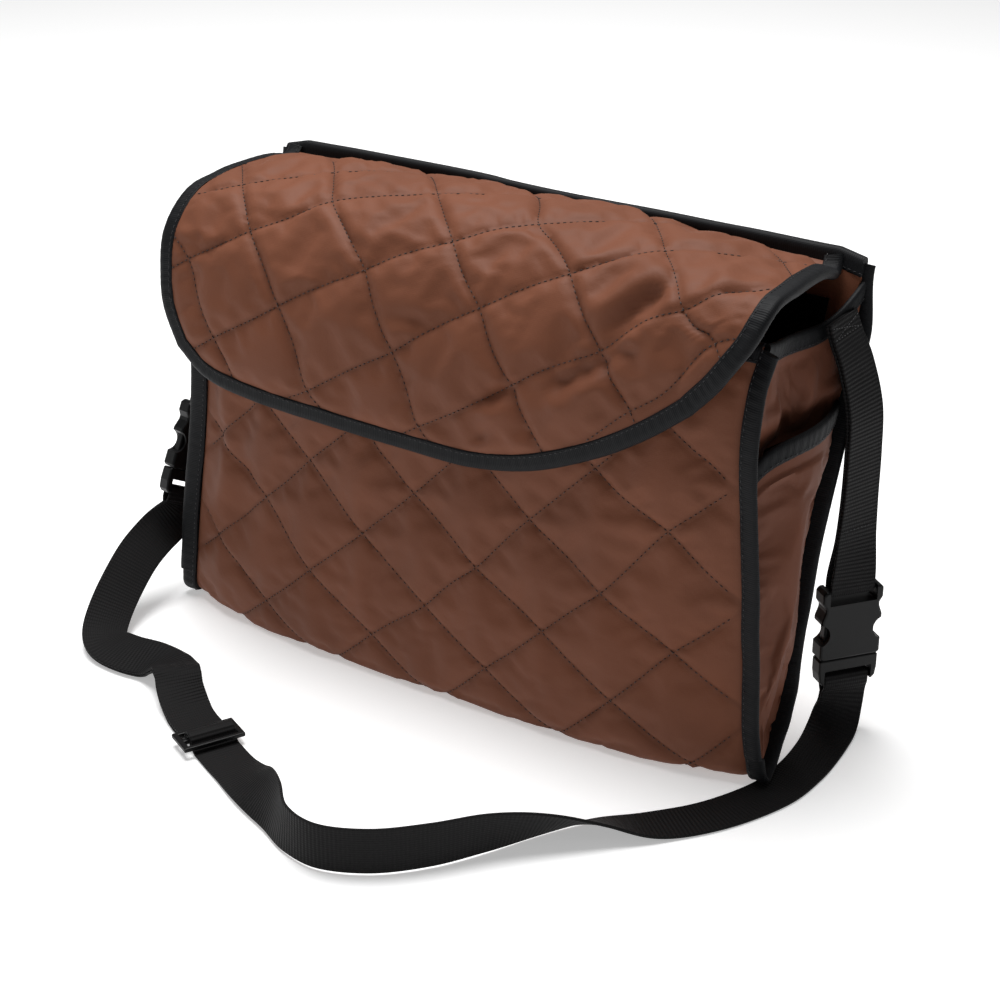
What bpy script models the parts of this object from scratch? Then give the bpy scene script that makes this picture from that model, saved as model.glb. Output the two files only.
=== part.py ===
"""Quilted hand warmer muff: a soft bag with a folding flap, two hand openings and a carrying strap.

Metres, +Z up, +X to the bag's right as seen from the front, -Y to the front, the bag standing on z = 0.
"""

import math

import bmesh
import bpy
from mathutils import Matrix, Vector

MM = 0.001

# Driving dimensions
CLOTH = 5 * MM  # quilted sheet: cloth, wadding and backing
GUSSET_CLOTH = 2 * MM  # unquilted side cloth
LINING_CLOTH = 1 * MM
TAPE_WIDTH = 10 * MM  # visible width of the folded binding tape
TAPE_PROUD = 0.7 * MM  # how far the tape stands off the cloth on each face
SEAM_FIN = 2.6 * MM  # thickness of a bound seam
SEAM_ROOM = 2.2 * MM  # side cloth starts this far from its seam
GAP = 0.35 * MM  # between pieces that touch
WEBBING = 25 * MM
WEBBING_THICK = 1.5 * MM
LAYER_STEP = 2 * MM  # between the middles of two webbing layers
MOUTH_HEIGHT = 0.172  # the hand openings' edge
GUSSET_TOP = ((0.2320,), (0.2275,), (0.2240,), (0.2250,), (0.2380,))  # from the front seam to the back one
FOLD_LEFT = Vector((-0.186, -0.0332, 0.2442))  # the flap folds over the front along this line
FOLD_RIGHT = Vector((0.188, -0.0479, 0.2579))
SOCKET_LENGTH = 40 * MM
SOCKET_WIDTH = 34 * MM
SOCKET_THICK = 10.5 * MM
BAR_THICK = 3 * MM  # the bars that the webbing turns round
BAR_HEIGHT = 3.2 * MM
SLOT_HEIGHT = 5.2 * MM
SLOT_WIDTH = 26.6 * MM
LOOP_REACH = 2.9 * MM  # from a bar's middle to the middle of the webbing round it
ARM_ROOM = 14.5 * MM  # half the width inside the socket
PLUG_BASE = 15 * MM

# Side seam from the front top, down, under and up to the back top:
# (right x, left x, y, z), and the same stations along the bag's middle: (y, z).
SIDE_SEAM = (
    (0.175, 0.172, -0.0350, 0.233),
    (0.170, 0.168, -0.0400, 0.205),
    (0.171, 0.161, -0.0435, 0.165),
    (0.174, 0.164, -0.0435, 0.120),
    (0.177, 0.171, -0.0435, 0.075),
    (0.179, 0.177, -0.0435, 0.035),
    (0.183, 0.180, -0.0430, 0.0085),
    (0.182, 0.179, -0.0340, 0.0060),
    (0.179, 0.177, -0.0140, 0.019),
    (0.177, 0.176, -0.0020, 0.034),
    (0.176, 0.175, 0.0030, 0.053),
    (0.176, 0.175, 0.0090, 0.082),
    (0.177, 0.176, 0.0230, 0.132),
    (0.179, 0.178, 0.0430, 0.190),
    (0.181, 0.181, 0.0600, 0.249),
)
MIDDLE_LINE = (
    (-0.038, 0.232),
    (-0.048, 0.205),
    (-0.054, 0.165),
    (-0.057, 0.120),
    (-0.059, 0.075),
    (-0.060, 0.032),
    (-0.056, 0.003),
    (-0.046, -0.002),
    (-0.010, -0.004),
    (0.020, -0.001),
    (0.043, 0.020),
    (0.054, 0.060),
    (0.062, 0.120),
    (0.064, 0.190),
    (0.060, 0.249),
)
FULLNESS = 4  # how late the middle's shape gives way to the side seam's
LAST_STATION = len(SIDE_SEAM) - 1
FRONT_CORNER = 6 / LAST_STATION
BACK_CORNER = 7 / LAST_STATION
FRONT_TAPE = 0.31 / LAST_STATION  # the stretch of the body under the front top binding
BACK_TAPE = 0.19 / LAST_STATION

# The flap's outer face from the back seam to its lower edge, at its left edge, middle and right edge: (y, z).
FLAP_LEFT = (
    (0.0525, 0.2430),
    (0.0380, 0.2465),
    (0.0180, 0.2475),
    (-0.0060, 0.2470),
    (-0.0315, 0.2430),
    (-0.0500, 0.2265),
    (-0.0570, 0.2000),
    (-0.0600, 0.1710),
    (-0.0620, 0.1430),
)
FLAP_MIDDLE = (
    (0.0525, 0.2450),
    (0.0380, 0.2545),
    (0.0150, 0.2615),
    (-0.0120, 0.2610),
    (-0.0360, 0.2500),
    (-0.0520, 0.2280),
    (-0.0610, 0.2000),
    (-0.0640, 0.1700),
    (-0.0640, 0.1430),
)
FLAP_RIGHT = (
    (0.0525, 0.2405),
    (0.0400, 0.2455),
    (0.0180, 0.2525),
    (-0.0140, 0.2565),
    (-0.0450, 0.2560),
    (-0.0600, 0.2360),
    (-0.0630, 0.2050),
    (-0.0640, 0.1720),
    (-0.0640, 0.1430),
)
FLAP_HALF = 0.184
FLAP_STEP = 28 * MM  # cloth between two stations of the lists above
# The flap's outline on its cloth: (x, station), down the left edge, along the lower edge and down the right.
FLAP_LEFT_EDGE = ((-0.178, 0), (-0.182, 2), (-0.182, 4), (-0.1815, 5.4), (-0.178, 6.4), (-0.167, 7.2))
FLAP_LOWER_EDGE = (
    (-0.167, 7.20),
    (-0.146, 7.70),
    (-0.110, 7.90),
    (-0.060, 7.96),
    (-0.010, 8.00),
    (0.030, 7.98),
    (0.065, 7.72),
    (0.100, 7.18),
    (0.130, 6.60),
    (0.152, 6.10),
)
FLAP_RIGHT_EDGE = ((0.170, 0), (0.179, 2), (0.185, 3.6), (0.182, 4.7), (0.169, 5.5), (0.152, 6.10))

# Webbing routes: x, y, z in millimetres, then the heading and the rise of the width across it in degrees.
STRAP_ROUTE = (
    (195.5, 36.0, 27.0, 53, 0),
    (195.6, 35.2, 19.5, 53, 0),
    (196.0, 31.0, 10.5, 50, 0),
    (197.0, 20.0, 3.6, 34, 0),
    (198.8, 3.0, 1.0, 12, 0),
    (200.0, -20.0, 1.0, -6, 0),
    (197.0, -46.0, 1.0, -22, 0),
    (183.0, -78.0, 1.0, -36, 0),
    (164.0, -103.0, 1.8, -42, 3),
    (145.0, -122.0, 6.6, -48, 26),
    (127.0, -144.0, 10.9, -52, 54),
    (110.0, -168.0, 13.3, -54, 78),
    (94.0, -191.0, 13.6, -54, 87),
    (74.0, -211.0, 13.6, -62, 89),
    (50.0, -222.0, 13.6, -82, 90),
    (28.0, -218.5, 13.5, -104, 96),
    (8.0, -205.0, 12.4, -120, 117),
    (-13.0, -192.0, 8.4, -121, 146),
    (-31.0, -181.0, 3.0, -117, 172),
    (-49.0, -172.2, 1.0, -116, 180),
    (-84.0, -155.2, 2.9, -116, 180),
    (-95.0, -149.0, 4.6, -122, 179),
    (-106.0, -142.0, 10.0, -142, 178),
    (-115.0, -134.0, 14.5, -156, 178),
    (-126.0, -127.0, 11.8, -146, 172),
    (-140.0, -124.5, 8.4, -114, 162),
    (-157.0, -126.0, 7.6, -96, 160),
    (-173.0, -124.0, 7.2, -102, 166),
    (-184.0, -117.0, 7.6, -124, 184),
    (-191.0, -106.0, 12.0, -142, 198),
    (-197.0, -89.0, 20.5, -150, 207),
    (-201.5, -68.0, 31.0, -147, 207),
    (-202.4, -51.0, 37.8, -134, 206),
    (-200.6, -38.8, 42.6, -117, 206),
    (-199.3, -32.5, 47.6, -111, 206),
    (-199.0, -29.3, 53.8, -110, 206),
)
SLIDER_AT = 19  # the slider sits between this station and the next
DOUBLED_FROM = 20  # the webbing is doubled from the slider to the left plug
RIGHT_END_TO = 2.5
# The two layers at the slider: distance along the webbing and height, in millimetres.
OVER_SLIDER = (
    (-15, 1.0),
    (-11, 1.0),
    (-8, 1.05),
    (-6.8, 1.3),
    (-5.6, 2.4),
    (-4.8, 4.2),
    (-4.5, 6.2),
    (-4.0, 7.8),
    (-2.6, 9.1),
    (0, 9.6),
    (2.6, 9.1),
    (4.0, 7.8),
    (4.5, 6.0),
    (4.7, 4.4),
    (5.5, 3.2),
    (7, 2.9),
    (11, 2.9),
    (15, 2.9),
)
ROUND_BAR = (
    (15, 1.0),
    (11, 1.0),
    (7, 1.0),
    (5, 1.1),
    (3.4, 1.7),
    (2.6, 3.0),
    (2.4, 4.6),
    (2.3, 6.0),
    (1.8, 7.1),
    (0.8, 7.65),
    (-0.8, 7.65),
    (-1.8, 7.1),
    (-2.3, 6.0),
    (-2.4, 4.6),
    (-2.3, 3.3),
)
RIGHT_TAB_ROUTE = (
    (194.6, 34.0, 216.0, 80, 0),
    (195.6, 34.6, 200.0, 78, 0),
    (196.6, 35.4, 180.0, 76, 0),
    (197.0, 36.0, 155.0, 74, 0),
    (196.8, 36.0, 130.0, 72, 0),
    (196.3, 36.0, 108.0, 65, 0),
    (195.5, 36.0, 86.0, 53, 0),
)
LEFT_TAB_ROUTE = (
    (-195.0, 33.0, 216.0, 94, 0),
    (-196.2, 32.6, 200.0, 93, 0),
    (-197.2, 30.5, 183.0, 91, -2),
    (-198.0, 25.5, 163.0, 87, -7),
    (-198.0, 16.0, 139.0, 81, -15),
    (-197.6, 5.0, 118.0, 75, -23),
    (-197.2, -2.6, 106.0, 73, -26),
)
RIGHT_MOUTH = Vector((0.1955, 0.0360, 0.0430))
LEFT_MOUTH = Vector((-0.1985, -0.0220, 0.0680))
LEFT_RISE = Vector((0.03, 0.455, 0.89))  # up the left buckle towards its tab
LEFT_HEADING = math.radians(73)
RIGHT_HEADING = math.radians(53)

COLOURS = {
    "quilted_cloth": ((0.120, 0.048, 0.032), 0.55, 0.0),
    "side_cloth": ((0.105, 0.042, 0.029), 0.45, 0.0),
    "binding_tape": ((0.014, 0.015, 0.018), 0.6, 0.0),
    "webbing": ((0.010, 0.009, 0.010), 0.75, 0.0),
    "lining_cloth": ((0.008, 0.008, 0.009), 0.7, 0.0),
    "fleece": ((0.030, 0.026, 0.024), 0.95, 0.0),
    "buckle_plastic": ((0.016, 0.016, 0.017), 0.38, 0.0),
}


# Tools


def clear_scene():
    for obj in list(bpy.data.objects):
        bpy.data.objects.remove(obj, do_unlink=True)


def new_collection(name):
    collection = bpy.data.collections.new(name)
    bpy.context.scene.collection.children.link(collection)
    return collection


def make_material(name):
    colour, roughness, metallic = COLOURS[name]
    material = bpy.data.materials.new(name)
    material.use_nodes = True
    shader = material.node_tree.nodes["Principled BSDF"]
    shader.inputs["Base Color"].default_value = (*colour, 1)
    shader.inputs["Roughness"].default_value = roughness
    shader.inputs["Metallic"].default_value = metallic
    return material


def add_object(name, mesh, material, collection):
    obj = bpy.data.objects.new(name, mesh)
    mesh.materials.append(MATERIALS[material])
    mesh.shade_smooth()
    mesh.set_sharp_from_angle(angle=math.radians(40))
    collection.objects.link(obj)
    return obj


def spline(stations, t):
    """The values at t, counted in stations, on the smooth curve through them."""
    last = len(stations) - 1
    start = min(max(int(t), 0), last - 1)
    f = t - start
    p1 = stations[start]
    p2 = stations[start + 1]
    p0 = stations[start - 1] if start else [2 * a - b for a, b in zip(p1, p2)]
    p3 = stations[start + 2] if start + 2 <= last else [2 * b - a for a, b in zip(p1, p2)]
    return [
        b + 0.5 * f * (c - a + f * (2 * a - 5 * b + 4 * c - d + f * (3 * (b - c) + d - a)))
        for a, b, c, d in zip(p0, p1, p2, p3)
    ]


def grid_mesh(name, surface, columns, rows):
    """An open sheet of surface(u, v) points, its faces turned so that dv x du points out."""
    points = [surface(i / columns, j / rows) for j in range(rows + 1) for i in range(columns + 1)]
    faces = []
    for j in range(rows):
        for i in range(columns):
            a = j * (columns + 1) + i
            b = a + columns + 1
            faces.append((a, b, b + 1, a + 1))
    mesh = bpy.data.meshes.new(name)
    mesh.from_pydata(points, [], faces)
    return mesh


def sheet(name, surface, columns, rows, thickness, material, offset=-1, collection=None):
    """A shell of one thickness over surface(u, v)."""
    mesh = grid_mesh(name, surface, columns, rows)
    obj = add_object(name, mesh, material, collection or MUFF)
    wall = obj.modifiers.new("wall", "SOLIDIFY")
    wall.thickness = thickness
    wall.offset = offset
    return obj


def raised(surface, height):
    """The surface moved out along its own normal."""
    step = 0.002

    def moved(u, v):
        du = surface(u + step, v) - surface(u - step, v)
        dv = surface(u, v + step) - surface(u, v - step)
        return surface(u, v) + dv.cross(du).normalized() * height

    return moved


def stretch(surface, u_from, u_to, v_from, v_to):
    """The part of a surface between these limits, as a surface of its own."""
    return lambda u, v: surface(u_from + (u_to - u_from) * u, v_from + (v_to - v_from) * v)


def to_mesh_object(obj):
    """The object with its modifiers made real."""
    graph = bpy.context.evaluated_depsgraph_get()
    mesh = bpy.data.meshes.new_from_object(obj.evaluated_get(graph))
    old_name = obj.name
    matrix = obj.matrix_world.copy()
    collection = obj.users_collection[0]
    bpy.data.objects.remove(obj, do_unlink=True)
    merged = bmesh.new()
    merged.from_mesh(mesh)
    bmesh.ops.remove_doubles(merged, verts=merged.verts, dist=1e-6)
    merged.to_mesh(mesh)
    merged.free()
    mesh.name = old_name
    made = bpy.data.objects.new(old_name, mesh)
    made.matrix_world = matrix
    collection.objects.link(made)
    return made


def cut_copy(source, name, point, normal):
    """A copy of a closed mesh, keeping what is behind the plane, with the cut closed."""
    part = bmesh.new()
    part.from_mesh(source.data)
    geometry = part.verts[:] + part.edges[:] + part.faces[:]
    made = bmesh.ops.bisect_plane(
        part, geom=geometry, dist=1e-7, plane_co=point, plane_no=normal, clear_outer=True
    )
    rim = [piece for piece in made["geom_cut"] if isinstance(piece, bmesh.types.BMEdge)]
    bmesh.ops.holes_fill(part, edges=rim, sides=0)
    bmesh.ops.triangulate(part, faces=[face for face in part.faces if len(face.verts) > 4])
    bmesh.ops.recalc_face_normals(part, faces=part.faces[:])
    mesh = source.data.copy()
    part.to_mesh(mesh)
    part.free()
    mesh.name = name
    obj = bpy.data.objects.new(name, mesh)
    MUFF.objects.link(obj)
    return obj


# Body


def body_point(u, v):
    """u runs from -1 at the left seam to 1 at the right one, v from 0 at the front top to 1 at the back."""
    right, left, y_side, z_side = spline(SIDE_SEAM, v * LAST_STATION)
    y_middle, z_middle = spline(MIDDLE_LINE, v * LAST_STATION)
    full = 1 - min(abs(u), 1) ** FULLNESS
    x = u * (right + left) / 2 + u * u * (right - left) / 2
    y = y_side + (y_middle - y_side) * full
    z = z_side + (z_middle - z_side) * full
    return Vector((x, y, max(z, 0)))


def body_surface(u, v):
    return body_point(2 * u - 1, v)


def make_body():
    main = stretch(body_surface, 0, 1, FRONT_TAPE, 1 - BACK_TAPE)
    sheet("body_panel", main, 22, 42, CLOTH, "quilted_cloth")
    front = raised(stretch(body_surface, 0, 1, 0, FRONT_TAPE - 0.0007), TAPE_PROUD)
    back = raised(stretch(body_surface, 0, 1, 1 - BACK_TAPE + 0.0006, 1), TAPE_PROUD)
    thickness = CLOTH + 2 * TAPE_PROUD
    sheet("front_top_binding", front, 16, 2, thickness, "binding_tape")
    sheet("back_top_binding", back, 16, 2, thickness, "binding_tape")
    inset = raised(stretch(body_surface, 0.035, 0.965, 0, 1), -CLOTH - 1.6 * MM)
    corner_from = FRONT_CORNER - 1.2 / LAST_STATION
    corner_to = BACK_CORNER + 1.4 / LAST_STATION

    def lining(u, v):
        """Follows the panel, and cuts across its front lower corner."""
        v = 0.05 + 0.9 * v
        if corner_from < v < corner_to:
            share = (v - corner_from) / (corner_to - corner_from)
            return inset(u, corner_from).lerp(inset(u, corner_to), share)
        return inset(u, v)

    sheet("body_lining", lining, 12, 36, LINING_CLOTH, "lining_cloth")


def seam_height_v(side, height, low, high):
    """Where the side seam reaches this height between two places along it."""
    rising = body_point(side, high).z > body_point(side, low).z
    for _ in range(30):
        middle = (low + high) / 2
        if (body_point(side, middle).z < height) == rising:
            low = middle
        else:
            high = middle
    return (low + high) / 2


def side_cloth(side, height, across, bulge, power):
    """A point of the side cloth: across runs from the front seam to the back one."""
    front = body_point(side, seam_height_v(side, height, 0, FRONT_CORNER))
    back = body_point(side, seam_height_v(side, height, BACK_CORNER, 1))
    point = front.lerp(back, across)
    room = SEAM_ROOM * (1 - 2 * across)
    out = GAP + GUSSET_CLOTH + bulge * math.sin(math.pi * min(max(across, 0), 1)) ** power
    return point + Vector((side * out, room, 0))


def gusset_top(across):
    """The sagging top edge of the side cloth."""
    return spline(GUSSET_TOP, across * (len(GUSSET_TOP) - 1))[0]


def make_side(side):
    name = "right" if side > 0 else "left"

    def turned(surface):
        """Left and right sheets both face outwards."""
        if side > 0:
            return surface
        return lambda u, v: surface(1 - u, v)

    def upper(u, v):
        height = gusset_top(u) - TAPE_WIDTH - GAP - v * (gusset_top(u) - TAPE_WIDTH - MOUTH_HEIGHT - 3 * GAP)
        return side_cloth(side, height, u, -7 * MM, 2)

    def upper_tape(u, v):
        height = gusset_top(u) - v * TAPE_WIDTH
        return side_cloth(side, height, u, -7 * MM, 2) + Vector((side * 2 * TAPE_PROUD, 0, 0))

    def pocket_bulge(height):
        return 10 * MM * math.sin(math.pi / 2 * min(height / 0.11, 1)) ** 0.8

    def lower(u, v):
        height = MOUTH_HEIGHT - TAPE_WIDTH - GAP - v * (MOUTH_HEIGHT - TAPE_WIDTH - GAP - 0.012)
        return side_cloth(side, height, u, pocket_bulge(height), 0.8)

    def mouth_tape(u, v):
        height = MOUTH_HEIGHT - v * TAPE_WIDTH
        return side_cloth(side, height, u, pocket_bulge(height), 0.8) + Vector((side * 2 * TAPE_PROUD, 0, 0))

    def seam_tape(u, v):
        seam = body_point(side, 0.008 + v * 0.988)
        lean = -0.25 if v < FRONT_CORNER - 0.03 else 0.1 * min(max(v - BACK_CORNER, 0) * 6, 1)
        out = GAP + u * TAPE_WIDTH
        return seam + Vector((side * out, lean * u * TAPE_WIDTH, 0))

    tape = GUSSET_CLOTH + 2 * TAPE_PROUD
    sheet(f"{name}_gusset", turned(upper), 12, 6, GUSSET_CLOTH, "side_cloth")
    sheet(f"{name}_gusset_binding", turned(upper_tape), 12, 1, tape, "binding_tape")
    sheet(f"{name}_hand_panel", turned(lower), 10, 14, GUSSET_CLOTH, "side_cloth")
    sheet(f"{name}_hand_binding", turned(mouth_tape), 12, 1, tape, "binding_tape")
    sheet(f"{name}_seam_binding", turned(seam_tape), 1, 60, SEAM_FIN, "binding_tape", offset=0)


def make_hand_sleeve():
    """A flattened tube from one hand opening to the other."""
    half_length = 0.160
    wall = 3 * MM

    def tube(u, v):
        angle = 2 * math.pi * v
        swell = 1 + 0.06 * math.cos(math.pi * (2 * u - 1))
        y = -0.0180 + 0.0165 * swell * math.copysign(abs(math.sin(angle)) ** 0.75, math.sin(angle))
        z = 0.1245 + 0.0370 * math.copysign(abs(math.cos(angle)) ** 0.75, math.cos(angle))
        return Vector((half_length * (2 * u - 1), y, z))

    mesh = grid_mesh("hand_sleeve", tube, 8, 28)
    joined = bmesh.new()
    joined.from_mesh(mesh)
    bmesh.ops.remove_doubles(joined, verts=joined.verts, dist=1e-6)
    bmesh.ops.recalc_face_normals(joined, faces=joined.faces[:])
    joined.to_mesh(mesh)
    joined.free()
    obj = add_object("hand_sleeve", mesh, "fleece", MUFF)
    shell = obj.modifiers.new("wall", "SOLIDIFY")
    shell.thickness = wall
    shell.offset = -1


# Flap


def flap_point(x, station):
    """A point of the flap's outer face, x across it and stations down it."""
    y, z = spline(FLAP_MIDDLE, station)
    edge = FLAP_RIGHT if x > 0 else FLAP_LEFT
    y_edge, z_edge = spline(edge, station)
    share = min(abs(x) / FLAP_HALF, 1.05) ** 2.2
    return Vector((x, y + (y_edge - y) * share, z + (z_edge - z) * share))


def outline(edge, t):
    x, station = spline(edge, t * (len(edge) - 1))
    return Vector((x, station * FLAP_STEP))


def pattern(u, v):
    """A point of the flap's flat cloth between its four edges, as (x, distance down it)."""
    back = Vector((FLAP_LEFT_EDGE[0][0] * (1 - u) + FLAP_RIGHT_EDGE[0][0] * u, 0))
    lower = outline(FLAP_LOWER_EDGE, u)
    left = outline(FLAP_LEFT_EDGE, v)
    right = outline(FLAP_RIGHT_EDGE, v)
    corners = (1 - u) * (1 - v) * outline(FLAP_LEFT_EDGE, 0) + u * (1 - v) * outline(FLAP_RIGHT_EDGE, 0)
    corners += (1 - u) * v * outline(FLAP_LEFT_EDGE, 1) + u * v * outline(FLAP_RIGHT_EDGE, 1)
    return (1 - v) * back + v * lower + (1 - u) * left + u * right - corners


def rim_point(t, inwards):
    """The flap's edge from the back left, round the front, to the back right, moved in by a distance."""

    def rim(t):
        t = min(max(t, 0), 1)
        if t < 0.3:
            return outline(FLAP_LEFT_EDGE, t / 0.3)
        if t < 0.7:
            return outline(FLAP_LOWER_EDGE, (t - 0.3) / 0.4)
        return outline(FLAP_RIGHT_EDGE, (1 - t) / 0.3)

    along = rim(t + 0.01) - rim(t - 0.01)
    across = Vector((along.y, -along.x)).normalized()
    return rim(t) + across * inwards


def on_flap(point):
    return flap_point(point.x, point.y / FLAP_STEP)


def make_flap():
    inset = TAPE_WIDTH + GAP

    def panel(u, v):
        """The quilted cloth inside the binding."""
        edge = pattern(u, v)
        reach = inset / FLAP_HALF
        squeeze_x = edge.x * (1 - reach)
        squeeze_y = edge.y * (1 - inset / (8 * FLAP_STEP))
        return on_flap(Vector((squeeze_x, squeeze_y)))

    def tape(u, v):
        edge = rim_point(v, u * TAPE_WIDTH * 0.82)
        return on_flap(edge)

    fold = (FOLD_RIGHT - FOLD_LEFT).normalized()
    down = Vector((0, -1, -1))
    across = (down - fold * down.dot(fold)).normalized()
    middle = (FOLD_LEFT + FOLD_RIGHT) / 2
    whole = to_mesh_object(sheet("flap", panel, 26, 28, CLOTH, "quilted_cloth"))
    cut_copy(whole, "flap_top", middle - across * GAP / 2, across)
    cut_copy(whole, "flap_front", middle + across * GAP / 2, -across)
    bpy.data.objects.remove(whole, do_unlink=True)
    raised_tape = raised(tape, TAPE_PROUD)
    rim = to_mesh_object(
        sheet("flap_rim", raised_tape, 1, 90, CLOTH + 2 * TAPE_PROUD, "binding_tape")
    )
    top = cut_copy(rim, "flap_top_rim", middle - across * GAP / 2, across)
    cut_copy(rim, "flap_front_binding", middle + across * GAP / 2, -across)
    cut_copy(top, "flap_left_binding", Vector((0, 0, 0)), Vector((1, 0, 0)))
    cut_copy(top, "flap_right_binding", Vector((0, 0, 0)), Vector((-1, 0, 0)))
    for helper in (rim, top):
        bpy.data.objects.remove(helper, do_unlink=True)


# Webbing


def webbing_frame(route, t):
    """Middle, width and face of the webbing at t, counted in stations."""
    x, y, z, heading, rise = spline(route, t)
    ahead = Vector(spline(route, t + 0.02)[:3]) - Vector(spline(route, t - 0.02)[:3])
    along = ahead.normalized()
    heading = math.radians(heading)
    rise = math.radians(rise)
    width = Vector((math.cos(rise) * math.cos(heading), math.cos(rise) * math.sin(heading), math.sin(rise)))
    width = (width - along * width.dot(along)).normalized()
    return Vector((x, y, z)) * MM, width, width.cross(along)


def route_rows(route, start, end, count, layer):
    """Rows of (middle, width) along a route; layer(t) is the distance off its middle."""
    rows = []
    for i in range(count + 1):
        t = start + (end - start) * i / count
        middle, width, face = webbing_frame(route, t)
        rows.append((middle + face * layer(t), width))
    return rows


def loop_rows(frame, bar_height, opening, first_side, count=8):
    """Rows round a buckle's bar, through the slot that lies above it (opening 1) or below it (-1)."""
    width = frame.col[0].xyz.normalized()
    rows = []
    for i in range(count + 1):
        angle = math.pi * i / count
        across = first_side * math.copysign(abs(math.cos(angle)) ** 0.8, math.cos(angle)) * LOOP_REACH
        up = opening * math.sin(angle) ** 0.8 * (LOOP_REACH + 0.1 * MM)
        rows.append((frame @ Vector((0, across, bar_height + up)), width))
    return rows


def strip(name, rows):
    """One webbing layer through rows of (middle, width)."""
    floor = WEBBING_THICK / 2 + 0.02 * MM
    points = []
    for middle, width in rows:
        for end in (-0.5, 0.5):
            point = middle + width * end * WEBBING
            points.append((point.x, point.y, max(point.z, floor)))
    faces = [(2 * i, 2 * i + 1, 2 * i + 3, 2 * i + 2) for i in range(len(rows) - 1)]
    mesh = bpy.data.meshes.new(name)
    mesh.from_pydata(points, [], faces)
    obj = add_object(name, mesh, "webbing", MUFF)
    wall = obj.modifiers.new("wall", "SOLIDIFY")
    wall.thickness = WEBBING_THICK
    wall.offset = 0
    return obj


def ease(value):
    value = min(max(value, 0), 1)
    return value * value * (3 - 2 * value)


def make_tab(side, route, frame):
    """Webbing sewn at the top, down to the socket's bar, round it and back up."""
    last = len(route) - 1

    def spread(t):
        return LAYER_STEP / 2 + (LOOP_REACH - LAYER_STEP / 2) * ease((t - last + 1.2) / 1.2)

    bar_height = SOCKET_LENGTH - BAR_HEIGHT / 2
    down = route_rows(route, 0, last, 18, lambda t: -spread(t))
    up = route_rows(route, 0, last, 18, spread)
    start = down[-1][0] - frame @ Vector((0, 0, bar_height))
    first_side = 1 if start.dot(frame.col[1].xyz) > 0 else -1
    loop = loop_rows(frame, bar_height, -1, first_side)
    strip(f"{side}_tab", down + loop + up[::-1])


def make_strap(right, left):
    """The strap from plug to plug, and its two ends, turned round the plugs' bars and the slider's."""
    last = len(STRAP_ROUTE) - 1
    half = LAYER_STEP / 2
    bar_height = BAR_HEIGHT / 2 - PLUG_BASE

    def right_layer(t):
        return -half * (1 - ease((t - 1) / 2)) - (LOOP_REACH - half) * (1 - ease(t / 0.9))

    def right_end_layer(t):
        return right_layer(t) + LAYER_STEP + 0.1 * MM + 2 * (LOOP_REACH - half) * (1 - ease(t / 0.9))

    def left_layer(t):
        return half * ease((t - last + 2.5) / 1.5) + (LOOP_REACH - half) * ease((t - last + 0.9) / 0.9)

    def return_layer(t):
        return left_layer(t) - LAYER_STEP - 2 * (LOOP_REACH - half) * ease((t - last + 0.9) / 0.9)

    x, y, z, heading, rise = STRAP_ROUTE[SLIDER_AT]
    begin, width, _ = webbing_frame(STRAP_ROUTE, SLIDER_AT)
    finish = webbing_frame(STRAP_ROUTE, SLIDER_AT + 1)[0]
    middle = (begin + finish) / 2
    along = Vector((finish.x - begin.x, finish.y - begin.y, 0)).normalized()
    width = Vector((-along.y, along.x, 0)) * (1 if Vector((-along.y, along.x, 0)).dot(width) > 0 else -1)
    middle.z = 0

    def at_slider(profile):
        return [(middle + along * a * MM + Vector((0, 0, b * MM)), width) for a, b in profile]

    rows = loop_rows(right, bar_height, 1, 1)
    rows += route_rows(STRAP_ROUTE, 0.12, SLIDER_AT, 62, right_layer)
    rows += at_slider(OVER_SLIDER)
    rows += route_rows(STRAP_ROUTE, DOUBLED_FROM, last - 0.12, 50, left_layer)
    rows += loop_rows(left, bar_height, 1, -1)
    strip("strap", rows)
    up = left.col[2].xyz
    end = [(left @ Vector((0, LOOP_REACH, bar_height - 0.6 * MM)), left.col[0].xyz)]
    rows = route_rows(STRAP_ROUTE, DOUBLED_FROM, last - 0.12, 50, return_layer) + end
    strip("strap_return", at_slider(ROUND_BAR)[::-1] + rows)
    start = [(right @ Vector((0, LOOP_REACH, bar_height - 0.6 * MM)), right.col[0].xyz)]
    strip("strap_right_end", start + route_rows(STRAP_ROUTE, 0.12, RIGHT_END_TO, 14, right_end_layer))
    across = Vector((0, 0, 1)).cross(along)
    turn = Matrix((across, along, Vector((0, 0, 1)))).transposed().to_4x4()
    return Matrix.Translation(middle) @ turn


# Buckles and slider


def block(name, size, place, material="buckle_plastic", collection=None):
    """A box of this size with its middle here."""
    mesh = bpy.data.meshes.new(name)
    box = bmesh.new()
    bmesh.ops.create_cube(box, size=1)
    bmesh.ops.scale(box, vec=size, verts=box.verts)
    bmesh.ops.translate(box, vec=place, verts=box.verts)
    box.to_mesh(mesh)
    box.free()
    return add_object(name, mesh, material, collection or MUFF)


def rod(name, radius, depth, place, collection, segments=28):
    """A round bar along Y with its middle here."""
    mesh = bpy.data.meshes.new(name)
    bar = bmesh.new()
    turn = Matrix.Translation(place) @ Matrix.Rotation(math.radians(90), 4, "X")
    bmesh.ops.create_cone(
        bar, cap_ends=True, segments=segments, radius1=radius, radius2=radius, depth=depth, matrix=turn
    )
    bar.to_mesh(mesh)
    bar.free()
    return add_object(name, mesh, "buckle_plastic", collection)


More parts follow.
